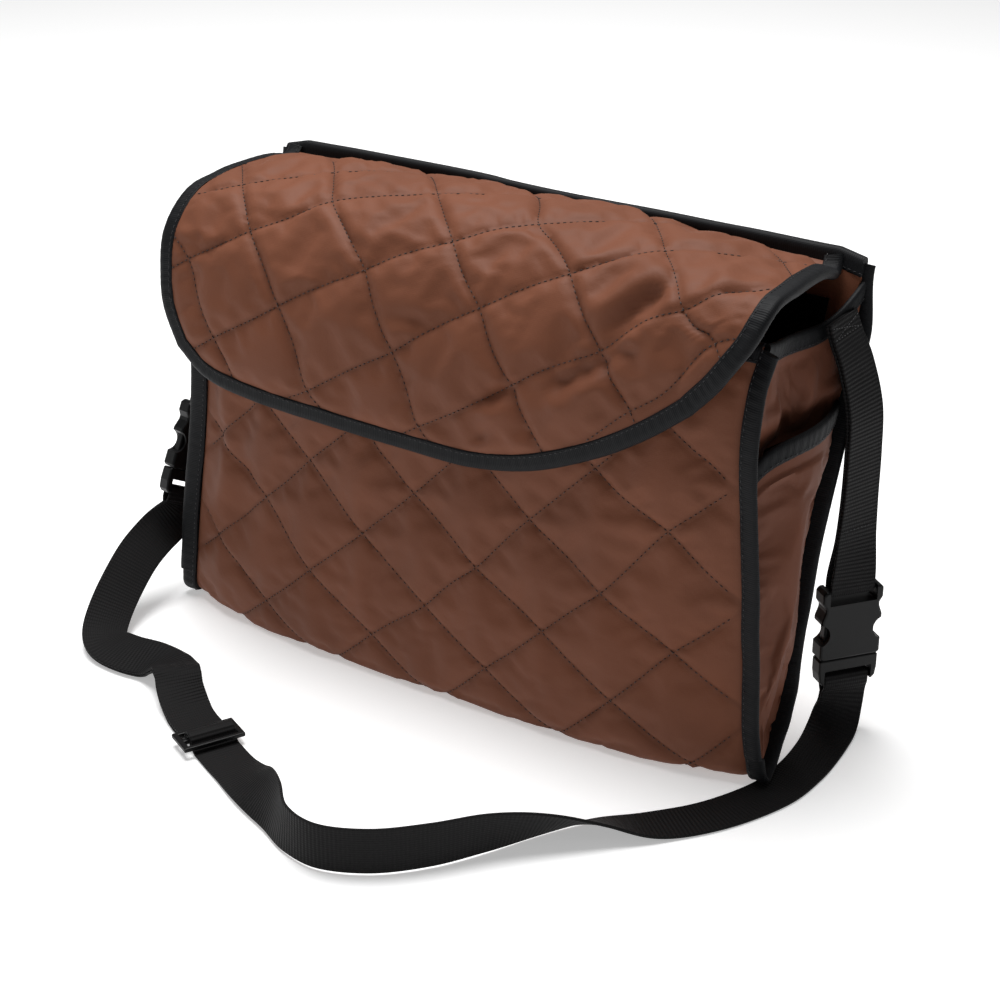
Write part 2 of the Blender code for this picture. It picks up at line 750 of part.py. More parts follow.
def outline_block(name, half_outline, thickness):
    """A plate of this thickness whose outline, given for +X from its lowest point up, is mirrored."""
    curve = bpy.data.curves.new(name, "CURVE")
    curve.dimensions = "2D"
    curve.fill_mode = "BOTH"
    curve.extrude = thickness / 2
    points = list(half_outline) + [(-x, z) for x, z in reversed(half_outline)]
    line = curve.splines.new("POLY")
    line.points.add(len(points) - 1)
    for place, (x, z) in zip(line.points, points):
        place.co = (x, z, 0, 1)
    line.use_cyclic_u = True
    obj = bpy.data.objects.new(name, curve)
    obj.rotation_euler = (math.radians(90), 0, 0)
    MUFF.objects.link(obj)
    bpy.context.view_layer.update()
    made = to_mesh_object(obj)
    made.data.transform(made.matrix_world)
    made.matrix_world = Matrix.Identity(4)
    made.data.materials.clear()
    made.data.materials.append(MATERIALS["buckle_plastic"])
    made.data.shade_smooth()
    made.data.set_sharp_from_angle(angle=math.radians(40))
    return made


def combine(obj, other, operation):
    """Adds or cuts with another object, which stays as a hidden helper."""
    other.hide_render = True
    other.display_type = "WIRE"
    modifier = obj.modifiers.new(other.name, "BOOLEAN")
    modifier.operation = operation
    modifier.object = other


def round_edges(obj, width, segments=2):
    bevel = obj.modifiers.new("edges", "BEVEL")
    bevel.width = width
    bevel.segments = segments
    bevel.limit_method = "ANGLE"
    bevel.angle_limit = math.radians(50)


def cut_slot(piece, name, edge, towards):
    """A slot from this height towards a piece's end, and a bar beyond it, thinner than the piece."""
    middle = edge + towards * SLOT_HEIGHT / 2
    slot = block(
        f"{name}_slot", Vector((SLOT_WIDTH, 14 * MM, SLOT_HEIGHT)), Vector((0, 0, middle)), collection=CUTTERS
    )
    combine(piece, slot, "DIFFERENCE")
    for side in (-1, 1):
        place = Vector((0, side * (BAR_THICK / 2 + 5 * MM), edge + towards * 6 * MM))
        notch = block(f"{name}_notch_{side + 1}", Vector((SLOT_WIDTH, 10 * MM, 12 * MM)), place, collection=CUTTERS)
        combine(piece, notch, "DIFFERENCE")


def make_socket(name):
    """The buckle half on the tab, its mouth at z = 0 and its webbing bar at the top."""
    half = SOCKET_WIDTH / 2
    outline_points = (
        (half - 1 * MM, 0),
        (half, 1.5 * MM),
        (half, 23 * MM),
        (half - 1.8 * MM, 28 * MM),
        (half - 1.8 * MM, 30 * MM),
        (half, 33 * MM),
        (half, 38 * MM),
        (half - 1.6 * MM, SOCKET_LENGTH),
    )
    socket = outline_block(name, outline_points, SOCKET_THICK)
    round_edges(socket, 1.2 * MM)
    room = Vector((2 * ARM_ROOM, 6.4 * MM, 27 * MM))
    cavity = block(f"{name}_cavity", room, Vector((0, 0, 12.5 * MM)), collection=CUTTERS)
    combine(socket, cavity, "DIFFERENCE")
    for side in (-1, 1):
        place = Vector((side * 18.6 * MM, 0, 15 * MM))
        window = rod(f"{name}_window_{side + 1}", 6.4 * MM, 14 * MM, place, CUTTERS)
        combine(socket, window, "DIFFERENCE")
    cut_slot(socket, name, SOCKET_LENGTH - BAR_HEIGHT - SLOT_HEIGHT, 1)
    return socket


def make_plug(name):
    """The buckle half on the strap: base below the mouth, guide tongue up into it."""
    half = SOCKET_WIDTH / 2
    outline_points = (
        (half - 3 * MM, -PLUG_BASE),
        (half - 1.2 * MM, 1.8 * MM - PLUG_BASE),
        (half - 0.4 * MM, -8 * MM),
        (half - 0.4 * MM, -1.2 * MM),
        (half - 1.2 * MM, -GAP),
    )
    plug = outline_block(name, outline_points, SOCKET_THICK - 1.6 * MM)
    round_edges(plug, 1.1 * MM)
    cut_slot(plug, name, BAR_HEIGHT + SLOT_HEIGHT - PLUG_BASE, -1)
    tongue_size = Vector((7 * MM, 3 * MM, 24 * MM))
    tongue = block(f"{name}_tongue", tongue_size, Vector((0, 0, 9 * MM)), collection=CUTTERS)
    combine(plug, tongue, "UNION")
    return plug


def make_arm(name, side):
    """A sprung arm of the plug, rooted at z = 0, with the finger pad that shows in the socket's window."""
    inner = 9.6 * MM
    outer = ARM_ROOM - GAP
    stem = 12.2 * MM
    points = (
        (inner, 0.4 * MM),
        (stem, 0.4 * MM),
        (stem + 0.2 * MM, 7 * MM),
        (outer, 10 * MM),
        (outer, 20 * MM),
        (outer - 1.2 * MM, 22.5 * MM),
        (inner + 0.6 * MM, 24.5 * MM),
        (inner, 20 * MM),
    )
    profile = [(side * x, z) for x, z in points]
    shape = bmesh.new()
    face = shape.faces.new([shape.verts.new((x, -2.6 * MM, z)) for x, z in profile])
    pushed = bmesh.ops.extrude_face_region(shape, geom=[face])
    moved = [piece for piece in pushed["geom"] if isinstance(piece, bmesh.types.BMVert)]
    bmesh.ops.translate(shape, vec=(0, 5.2 * MM, 0), verts=moved)
    bmesh.ops.recalc_face_normals(shape, faces=shape.faces[:])
    mesh = bpy.data.meshes.new(name)
    shape.to_mesh(mesh)
    shape.free()
    arm = add_object(name, mesh, "buckle_plastic", MUFF)
    root = Vector((side * (inner + stem) / 2, 0, 0.4 * MM))
    arm.data.transform(Matrix.Translation(-root))
    arm.location = root
    round_edges(arm, 0.5 * MM, 1)
    return arm


def buckle_matrix(mouth, up, heading):
    """Local X across the webbing, Y through it and Z up towards the tab."""
    up = up.normalized()
    across = Vector((math.cos(heading), math.sin(heading), 0))
    across = (across - up * across.dot(up)).normalized()
    through = up.cross(across)
    turn = Matrix((across, through, up)).transposed().to_4x4()
    return Matrix.Translation(mouth) @ turn


def make_buckle(side, frame_matrix):
    frame = bpy.data.objects.new(f"{side}_buckle_frame", None)
    MUFF.objects.link(frame)
    frame.matrix_world = frame_matrix
    pieces = [
        make_socket(f"{side}_buckle_socket"),
        make_plug(f"{side}_buckle_plug"),
        make_arm(f"{side}_arm_inner", -1),
        make_arm(f"{side}_arm_outer", 1),
    ]
    helpers = [obj for obj in CUTTERS.objects if obj.name.startswith(f"{side}_buckle")]
    for piece in pieces + helpers:
        piece.parent = frame


def make_slider(frame_matrix):
    """A flat three-bar slider; its two slots take the webbing."""
    frame = bpy.data.objects.new("slider_frame", None)
    MUFF.objects.link(frame)
    frame.matrix_world = frame_matrix
    off = 0.9 * MM
    plate = block("slider", Vector((34 * MM, 18 * MM, 2.4 * MM)), Vector((off, 0, 5.3 * MM)))
    plate.parent = frame
    for side in (-1, 1):
        place = Vector((off, side * 3.85 * MM, 5.3 * MM))
        slot = block(f"slider_slot_{side + 1}", Vector((27.6 * MM, 5.1 * MM, 6 * MM)), place, collection=CUTTERS)
        slot.parent = frame
        combine(plate, slot, "DIFFERENCE")
    round_edges(plate, 0.6 * MM)


clear_scene()
MUFF = new_collection("hand_warmer_muff")
CUTTERS = new_collection("cutters")
CUTTERS.hide_render = True
MATERIALS = {name: make_material(name) for name in COLOURS}
make_body()
for body_side in (-1, 1):
    make_side(body_side)
make_hand_sleeve()
make_flap()
RIGHT_FRAME = buckle_matrix(RIGHT_MOUTH, Vector((0, 0, 1)), RIGHT_HEADING)
LEFT_FRAME = buckle_matrix(LEFT_MOUTH, LEFT_RISE, LEFT_HEADING)
make_tab("right", RIGHT_TAB_ROUTE, RIGHT_FRAME)
make_tab("left", LEFT_TAB_ROUTE, LEFT_FRAME)
make_slider(make_strap(RIGHT_FRAME, LEFT_FRAME))
make_buckle("right", RIGHT_FRAME)
make_buckle("left", LEFT_FRAME)
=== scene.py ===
"""Looks of a quilted hand warmer muff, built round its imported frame.

Metres, +Z up, +X to the bag's right as seen from the front, -Y to the front. Sizes and colours that
a user would change are properties in the panel; each operator makes one piece or a group of like pieces.
"""

import math

import bpy
import numpy as np
from mathutils import Matrix, Vector, noise


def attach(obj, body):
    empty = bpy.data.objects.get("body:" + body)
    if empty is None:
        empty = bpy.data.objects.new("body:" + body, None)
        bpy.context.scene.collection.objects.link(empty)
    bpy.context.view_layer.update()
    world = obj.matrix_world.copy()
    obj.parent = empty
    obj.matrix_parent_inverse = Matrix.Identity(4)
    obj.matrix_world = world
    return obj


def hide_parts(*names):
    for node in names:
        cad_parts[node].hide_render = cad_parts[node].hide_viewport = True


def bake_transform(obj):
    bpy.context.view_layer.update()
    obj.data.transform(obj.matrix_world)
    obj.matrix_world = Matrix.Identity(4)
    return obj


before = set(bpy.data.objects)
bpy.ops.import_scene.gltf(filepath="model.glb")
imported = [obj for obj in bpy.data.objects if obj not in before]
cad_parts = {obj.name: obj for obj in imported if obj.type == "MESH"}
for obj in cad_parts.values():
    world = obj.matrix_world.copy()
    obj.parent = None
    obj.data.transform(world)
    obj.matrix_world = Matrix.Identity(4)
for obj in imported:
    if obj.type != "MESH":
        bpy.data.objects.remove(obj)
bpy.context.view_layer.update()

bl_info = {
    "name": "Quilted hand warmer muff",
    "version": (1, 0, 0),
    "blender": (4, 5, 0),
    "location": "View3D > Sidebar > Muff",
    "description": "Makes a quilted hand warmer muff with its flap, bindings, webbing strap and buckles",
    "category": "Object",
}

MM = 0.001

# Shape of the bag, as in the solid model
CLOTH = 5 * MM
GUSSET_CLOTH = 2 * MM
TAPE_WIDTH = 10 * MM
SEAM_ROOM = 2.2 * MM
GAP = 0.35 * MM
WEBBING = 25 * MM
WEBBING_THICK = 1.5 * MM
LAYER_STEP = 2 * MM
MOUTH_HEIGHT = 0.172
LINING_WIDTH = 0.333
PANEL_FOOT = 0.0115
GUSSET_TOP = ((0.2320,), (0.2275,), (0.2240,), (0.2250,), (0.2380,))
SOCKET_LENGTH = 40 * MM
BAR_HEIGHT = 3.2 * MM
LOOP_REACH = 2.9 * MM
PLUG_BASE = 15 * MM

# Side seam from the front top, down, under and up to the back top: right x, left x, y, z.
SIDE_SEAM = (
    (0.175, 0.172, -0.0350, 0.233), (0.170, 0.168, -0.0400, 0.205), (0.171, 0.161, -0.0435, 0.165),
    (0.174, 0.164, -0.0435, 0.120), (0.177, 0.171, -0.0435, 0.075), (0.179, 0.177, -0.0435, 0.035),
    (0.183, 0.180, -0.0430, 0.0085), (0.182, 0.179, -0.0340, 0.0060),
    (0.179, 0.177, -0.0140, 0.019), (0.177, 0.176, -0.0020, 0.034), (0.176, 0.175, 0.0030, 0.053),
    (0.176, 0.175, 0.0090, 0.082), (0.177, 0.176, 0.0230, 0.132), (0.179, 0.178, 0.0430, 0.190),
    (0.181, 0.181, 0.0600, 0.249),
)
MIDDLE_LINE = (
    (-0.038, 0.232), (-0.048, 0.205), (-0.054, 0.165), (-0.057, 0.120), (-0.059, 0.075),
    (-0.060, 0.032), (-0.056, 0.003), (-0.046, -0.002), (-0.010, -0.004), (0.020, -0.001),
    (0.043, 0.020), (0.054, 0.060), (0.062, 0.120), (0.064, 0.190), (0.060, 0.249),
)
FULLNESS = 4
LAST_STATION = len(SIDE_SEAM) - 1
FRONT_CORNER = 6 / LAST_STATION
BACK_CORNER = 7 / LAST_STATION

FLAP_LEFT = (
    (0.0525, 0.2430), (0.0380, 0.2465), (0.0180, 0.2475), (-0.0060, 0.2470), (-0.0315, 0.2430),
    (-0.0500, 0.2265), (-0.0570, 0.2000), (-0.0600, 0.1710), (-0.0620, 0.1430),
)
FLAP_MIDDLE = (
    (0.0525, 0.2450), (0.0380, 0.2545), (0.0150, 0.2615), (-0.0120, 0.2610), (-0.0360, 0.2500),
    (-0.0520, 0.2280), (-0.0610, 0.2000), (-0.0640, 0.1700), (-0.0640, 0.1430),
)
FLAP_RIGHT = (
    (0.0525, 0.2405), (0.0400, 0.2455), (0.0180, 0.2525), (-0.0140, 0.2565), (-0.0450, 0.2560),
    (-0.0600, 0.2360), (-0.0630, 0.2050), (-0.0640, 0.1720), (-0.0640, 0.1430),
)
FLAP_HALF = 0.184
HINGE_Y, HINGE_Z = 0.0545, 0.2502
FLAP_STEP = 28 * MM
FLAP_LEFT_EDGE = ((-0.178, 0), (-0.182, 2), (-0.182, 4), (-0.1815, 5.4), (-0.178, 6.4), (-0.167, 7.2))
FLAP_LOWER_EDGE = (
    (-0.167, 7.20), (-0.146, 7.70), (-0.110, 7.90), (-0.060, 7.96), (-0.010, 8.00), (0.030, 7.98),
    (0.065, 7.72), (0.100, 7.18), (0.130, 6.60), (0.152, 6.10),
)
FLAP_RIGHT_EDGE = ((0.170, 0), (0.179, 2), (0.185, 3.6), (0.182, 4.7), (0.169, 5.5), (0.152, 6.10))

# Webbing routes: x, y, z in millimetres, then the heading and the rise of the width across it in degrees.
STRAP_ROUTE = (
    (195.5, 36.0, 27.0, 53, 0), (195.6, 35.2, 19.5, 53, 0), (196.0, 31.0, 10.5, 50, 0),
    (197.0, 20.0, 3.6, 34, 0), (198.8, 3.0, 1.0, 12, 0), (200.0, -20.0, 1.0, -6, 0),
    (197.0, -46.0, 1.0, -22, 0), (183.0, -78.0, 1.0, -36, 0), (164.0, -103.0, 1.8, -42, 3),
    (145.0, -122.0, 6.6, -48, 26), (127.0, -144.0, 10.9, -52, 54), (110.0, -168.0, 13.3, -54, 78),
    (94.0, -191.0, 13.6, -54, 87), (74.0, -211.0, 13.6, -62, 89), (50.0, -222.0, 13.6, -82, 90),
    (28.0, -218.5, 13.5, -104, 96), (8.0, -205.0, 12.4, -120, 117), (-13.0, -192.0, 8.4, -121, 146),
    (-31.0, -181.0, 3.0, -117, 172), (-49.0, -172.2, 1.0, -116, 180),
    (-84.0, -155.2, 2.9, -116, 180), (-95.0, -149.0, 4.6, -122, 179),
    (-106.0, -142.0, 10.0, -142, 178), (-115.0, -134.0, 14.5, -156, 178),
    (-126.0, -127.0, 11.8, -146, 172), (-140.0, -124.5, 8.4, -114, 162),
    (-157.0, -126.0, 7.6, -96, 160), (-173.0, -124.0, 7.2, -102, 166),
    (-184.0, -117.0, 7.6, -124, 184), (-191.0, -106.0, 12.0, -142, 198),
    (-197.0, -89.0, 20.5, -150, 207), (-201.5, -68.0, 31.0, -147, 207),
    (-202.4, -51.0, 37.8, -134, 206), (-200.6, -38.8, 42.6, -117, 206),
    (-199.3, -32.5, 47.6, -111, 206), (-199.0, -29.3, 53.8, -110, 206),
)
SLIDER_AT = 19
DOUBLED_FROM = 20
RIGHT_END_TO = 2.5
OVER_SLIDER = (
    (-15, 1.0), (-11, 1.0), (-8, 1.05), (-6.8, 1.3), (-5.6, 2.4), (-4.8, 4.2), (-4.5, 6.2),
    (-4.0, 7.8), (-2.6, 9.1), (0, 9.6), (2.6, 9.1), (4.0, 7.8), (4.5, 6.0), (4.7, 4.4), (5.5, 3.2),
    (7, 2.9), (11, 2.9), (15, 2.9),
)
ROUND_BAR = (
    (15, 1.0), (11, 1.0), (7, 1.0), (5, 1.1), (3.4, 1.7), (2.6, 3.0), (2.4, 4.6), (2.3, 6.0),
    (1.8, 7.1), (0.8, 7.65), (-0.8, 7.65), (-1.8, 7.1), (-2.3, 6.0), (-2.4, 4.6), (-2.3, 3.3),
)
# The tabs' tops lean in to the seam, which the flat solids can't.
RIGHT_TAB_ROUTE = (
    (181.5, 33.0, 226.0, 84, 0), (184.5, 33.5, 217.0, 82, 0), (190.5, 34.3, 203.0, 79, 0),
    (196.2, 35.4, 180.0, 76, 0), (197.0, 36.0, 155.0, 74, 0), (196.8, 36.0, 130.0, 72, 0),
    (196.3, 36.0, 108.0, 65, 0), (195.5, 36.0, 86.0, 53, 0),
)
LEFT_TAB_ROUTE = (
    (-181.5, 32.5, 226.0, 94, 0), (-184.5, 32.8, 217.0, 94, 0), (-190.5, 32.6, 203.0, 93, 0),
    (-196.4, 30.5, 183.0, 91, -2), (-198.0, 25.5, 163.0, 87, -7), (-198.0, 16.0, 139.0, 81, -15),
    (-197.6, 5.0, 118.0, 75, -23), (-197.2, -2.6, 106.0, 73, -26),
)
RIGHT_MOUTH = Vector((0.1955, 0.0360, 0.0430))
LEFT_MOUTH = Vector((-0.1985, -0.0220, 0.0680))
LEFT_RISE = Vector((0.03, 0.455, 0.89))
LEFT_HEADING = math.radians(73)
RIGHT_HEADING = math.radians(53)

# Where the quilting lines cross: number of the rising line, number of the falling line,
# millimetres across from the middle and millimetres of cloth from the panel's first edge.
BODY_CROSSINGS = (
    (1, 0, -119.1, 147.7), (1, 1, -87.5, 117.5), (2, -1, -117.7, 214.0), (2, 0, -84.8, 183.5),
    (2, 1, -47.3, 150.7), (2, 2, -12.7, 119.0), (3, 0, -40.2, 209.5), (3, 1, -4.4, 182.0),
    (3, 2, 28.9, 150.7), (3, 3, 62.6, 114.5), (3, 4, 101.6, 78.1), (4, 1, 34.3, 207.1),
    (4, 2, 70.5, 174.5), (4, 3, 104.7, 144.7), (4, 4, 142.1, 102.3), (5, 3, 144.5, 167.0),
)
FLAP_CROSSINGS = (
    (1, 0, -124, 130.2), (1, 1, -84, 100.8), (1, -1, -160, 152.6), (2, -1, -140, 190.4),
    (2, 0, -96, 165.2), (2, 1, -44, 137.2), (2, 2, 0, 112.0), (2, 3, 36, 86.8), (3, 0, -76, 205.8),
    (3, 1, -20, 173.6), (3, 2, 28, 142.8), (3, 3, 72, 116.2), (3, 4, 108, 84.0), (4, 1, -4, 208.6),
    (4, 2, 52, 175.0), (4, 3, 100, 151.2), (4, 4, 140, 124.6), (5, 3, 120, 173.6),
    (5, 4, 160, 135.8),
)
# Creases in the cloth: both ends as (across, along) in millimetres, height and half width in millimetres.
BODY_CREASES = (
    (-158, 40, -150, 215, 2.2, 9), (-140, 60, -137, 200, -1.2, 6), (-168, 95, -160, 150, -1.5, 6),
    (-30, 90, -55, 135, 1.4, 7), (20, 120, 30, 150, 1.0, 6), (168, 30, 160, 90, -1.6, 7),
    (-100, 30, -120, 80, 1.2, 9), (120, 400, 40, 470, 1.6, 12), (-60, 380, -120, 480, 1.5, 12),
)
FLAP_CREASES = (
    (98, 146, 130, 106, -4.2, 5), (92, 138, 116, 104, 2.2, 7), (108, 154, 142, 114, 2.6, 6),
    (70, 175, 112, 150, -3.2, 4), (66, 184, 110, 162, 2.0, 6), (78, 158, 94, 138, -1.4, 4),
    (106, 151, 124, 146, -1.8, 3), (-28, 157, 6, 155, -1.5, 4), (-30, 163, 4, 162, 1.0, 4),
    (39, 118, 43, 101, -1.4, 4), (-73, 128, -67, 150, -1.2, 4), (28, 188, 58, 175, -2.6, 4),
    (24, 194, 60, 184, 1.6, 6), (28, 210, 44, 196, -1.6, 3), (152, 134, 152, 84, 1.8, 7),
    (104, 100, 146, 118, 1.4, 9), (-150, 60, -60, 45, 1.6, 12), (20, 40, 120, 55, 1.6, 12),
)

SHELL_BROWN = "764834"
SIDE_BROWN = "6E4332"
TAPE_BLACK = "0C0D10"
WEBBING_BLACK = "0B0A0B"
LINING_BLACK = "0D0D0F"
FLEECE_BLACK = "241F1D"
PLASTIC_BLACK = "080809"
THREAD_BROWN = "27140E"
THREAD_BLACK = "18181B"
FLOOR_WHITE = "F4F4F4"

# Studio: the points looked at and lit; lamps as name, place, size in metres and watts; the world's light.
LOOKED_AT = Vector((-0.002, 0.009, 0.089))
LIT = Vector((0, 0, 0.1))
LAMPS = (
    ("key", (-0.3, 0.2, 1.85), 1.3, 43),
    ("front", (-1.3, -1.2, 0.9), 0.8, 1.1),
    ("side", (1.8, 0.2, 0.9), 0.9, 0.7),
)
SKY = 0.13
FLOOR_REACH = 4.0
FLOOR_DROP = 0.2 * MM

# Sewing: the bars across webbing and the seams of tapes, as stitch pitch, stitch length and thread.
BAR_STITCHES = (2.2 * MM, 1.7 * MM, 0.5 * MM)
SEAM_STITCH = (2.1 * MM, 0.4 * MM)
QUILTING_STITCH = (2.0 * MM, 0.6 * MM)


# Shapes


def spline(stations, t):
    """The values at t, counted in stations, on the smooth curve through them."""
    last = len(stations) - 1
    start = min(max(int(t), 0), last - 1)
    f = t - start
    p1 = stations[start]
    p2 = stations[start + 1]
    p0 = stations[start - 1] if start else [2 * a - b for a, b in zip(p1, p2)]
    p3 = stations[start + 2] if start + 2 <= last else [2 * b - a for a, b in zip(p1, p2)]
    return [
        b + 0.5 * f * (c - a + f * (2 * a - 5 * b + 4 * c - d + f * (3 * (b - c) + d - a)))
        for a, b, c, d in zip(p0, p1, p2, p3)
    ]


def ease(value):
    value = min(max(value, 0), 1)
    return value * value * (3 - 2 * value)


def body_point(u, v):
    """u runs from -1 at the left seam to 1 at the right, v from 0 at the front top to 1 at the back."""
    right, left, y_side, z_side = spline(SIDE_SEAM, v * LAST_STATION)
    y_middle, z_middle = spline(MIDDLE_LINE, v * LAST_STATION)
    full = 1 - min(abs(u), 1) ** FULLNESS
    x = u * (right + left) / 2 + u * u * (right - left) / 2
    y = y_side + (y_middle - y_side) * full
    z = z_side + (z_middle - z_side) * full
    return Vector((x, y, max(z, 0)))


BODY_STEPS = np.linspace(0, 1, 421)
BODY_LINE = np.array([body_point(0.5, v) for v in BODY_STEPS])
BODY_ALONG = np.concatenate([[0], np.cumsum(np.linalg.norm(np.diff(BODY_LINE, axis=0), axis=1))])
BODY_LENGTH = BODY_ALONG[-1]
BODY_HALF = 0.179


def on_body(x, s):
    """A point of the body's outer face: x across it as cloth, s down, under and up it."""
    v = float(np.interp(s, BODY_ALONG, BODY_STEPS))
    return body_point(min(max(x / BODY_HALF, -1), 1), v)


def flap_point(x, station):
    y, z = spline(FLAP_MIDDLE, station)
    edge = FLAP_RIGHT if x > 0 else FLAP_LEFT
    y_edge, z_edge = spline(edge, station)
    share = min(abs(x) / FLAP_HALF, 1.05) ** 2.2
    y, z = y + (y_edge - y) * share, z + (z_edge - z) * share
    # The first rows rise to the hinge, so the sewn edge stays put when the flap opens.
    sewn = max(0, 1 - station / 0.4) ** 2
    return Vector((x, y + (HINGE_Y - y) * sewn, z + (HINGE_Z - z) * sewn))


def on_flap(x, s):
    return flap_point(x, s / FLAP_STEP)


def outline(edge, t):
    x, station = spline(edge, t * (len(edge) - 1))
    return Vector((x, station * FLAP_STEP))


def flap_rim(t, inwards):
    """The flap's edge from the back left, round the front, to the back right, moved in by a distance."""

    def rim(t):
        t = min(max(t, 0), 1)
        if t < 0.3:
            return outline(FLAP_LEFT_EDGE, t / 0.3)
        if t < 0.7:
            return outline(FLAP_LOWER_EDGE, (t - 0.3) / 0.4)
        return outline(FLAP_RIGHT_EDGE, (1 - t) / 0.3)

    along = rim(t + 0.012) - rim(t - 0.012)
    across = Vector((along.y, -along.x)).normalized()
    return rim(t) + across * inwards


def seam_height_v(side, height, low, high):
    """Where the side seam reaches this height between two places along it."""
    rising = body_point(side, high).z > body_point(side, low).z
    for _ in range(24):
        middle = (low + high) / 2
        if (body_point(side, middle).z < height) == rising:
            low = middle
        else:
            high = middle
    return (low + high) / 2


def side_cloth(side, height, across, bulge, power):
    """A point of the side cloth: across runs from the front seam to the back one."""
    front = body_point(side, seam_height_v(side, height, 0, FRONT_CORNER))
    back = body_point(side, seam_height_v(side, height, BACK_CORNER, 1))
    point = front.lerp(back, across)
    room = SEAM_ROOM * (1 - 2 * across)
    out = GAP + GUSSET_CLOTH + bulge * math.sin(math.pi * min(max(across, 0), 1)) ** power
    return point + Vector((side * out, room, 0))


def gusset_top(across):
    return spline(GUSSET_TOP, across * (len(GUSSET_TOP) - 1))[0]


def face_of(surface, x, s, step=1.5 * MM):
    """The outward direction of surface(x, s)."""
    across = surface(x + step, s) - surface(x - step, s)
    along = surface(x, s + step) - surface(x, s - step)
    return along.cross(across).normalized()


def wander(x, y, seed, size):
    """Smooth noise from -1 to 1 with features of this size."""
    return noise.noise(Vector((x / size, y / size, seed * 7.31)))


# Materials


def linear(hex_code):
    """sRGB hex to linear RGBA."""
    levels = [int(hex_code[i : i + 2], 16) / 255 for i in (0, 2, 4)]
    return tuple(c / 12.92 if c <= 0.04045 else ((c + 0.055) / 1.055) ** 2.4 for c in levels) + (1,)


def add(tree, kind, inputs=None, **settings):
    """A node with its settings, and its inputs as values or as the sockets that feed them."""
    node = tree.nodes.new(kind)
    for name, value in settings.items():
        setattr(node, name, value)
    for name, value in (inputs or {}).items():
        if isinstance(value, bpy.types.NodeSocket):
            tree.links.new(value, node.inputs[name])
        else:
            node.inputs[name].default_value = value
    return node


def wave_scale(period):
    """The Wave texture's scale for bands this far apart."""
    return 2 * math.pi / 20 / period


def new_material(name, **shader):
    material = bpy.data.materials.new(name)
    material.use_nodes = True
    tree = material.node_tree
    principled = tree.nodes["Principled BSDF"]
    for socket, value in shader.items():
        principled.inputs[socket.replace("_", " ")].default_value = value
    return material, tree, principled


def shade(colour, share):
    r, g, b, a = colour
    return (r * share, g * share, b * share, a)


def brushed_cloth(name, colour):
    """Polyester microfibre, woven and peach-finished: soft, faintly bright and woven, with crinkles and
    painted shade along the quilting grooves.
    """
    material, tree, principled = new_material(
        name, Roughness=0.58, Sheen_Weight=0.03, Sheen_Roughness=0.4, Specular_IOR_Level=0.16
    )
    place = add(tree, "ShaderNodeTexCoord").outputs["Object"]
    patches = add(tree, "ShaderNodeTexNoise", {"Vector": place, "Scale": 14.0, "Detail": 3.0})
    ramp = add(
        tree, "ShaderNodeMapRange", {"Value": patches.outputs["Fac"], "From Min": 0.3, "From Max": 0.7}
    )
    worn = add(
        tree,
        "ShaderNodeMix",
        {0: ramp.outputs["Result"], 6: shade(colour, 0.9), 7: shade(colour, 1.1)},
        data_type="RGBA",
    ).outputs[2]
    # Painted shade: the seam attribute darkens the cloth along the quilting grooves.
    seam = add(tree, "ShaderNodeAttribute", attribute_name="seam").outputs["Fac"]
    base = add(
        tree, "ShaderNodeMix", {0: seam, 6: worn, 7: shade(colour, 0.86)}, data_type="RGBA"
    ).outputs[2]
    tree.links.new(base, principled.inputs["Base Color"])
    cloth = add(tree, "ShaderNodeUVMap", uv_map="cloth").outputs["UV"]
    # Threads 0.3 mm apart are too fine to show, so the bands are drawn 0.9 mm apart.
    warp = add(
        tree, "ShaderNodeTexWave", {"Vector": cloth, "Scale": wave_scale(0.9 * MM)}, bands_direction="X"
    )
    weft = add(
        tree, "ShaderNodeTexWave", {"Vector": cloth, "Scale": wave_scale(0.9 * MM)}, bands_direction="Y"
    )
    weave = add(
        tree, "ShaderNodeMath", {0: warp.outputs["Fac"], 1: weft.outputs["Fac"]}, operation="MULTIPLY"
    ).outputs[0]
    crinkles = add(
        tree, "ShaderNodeTexNoise", {"Vector": place, "Scale": 110.0, "Detail": 4.0, "Roughness": 0.6}
    )
    fine = add(tree, "ShaderNodeBump", {"Height": weave, "Strength": 0.25, "Distance": 0.08 * MM})
    bump = add(
        tree,
        "ShaderNodeBump",
        {
            "Height": crinkles.outputs["Fac"],
            "Strength": 0.5,
            "Distance": 0.7 * MM,
            "Normal": fine.outputs[0],
        },
    )
    tree.links.new(bump.outputs[0], principled.inputs["Normal"])
    return material


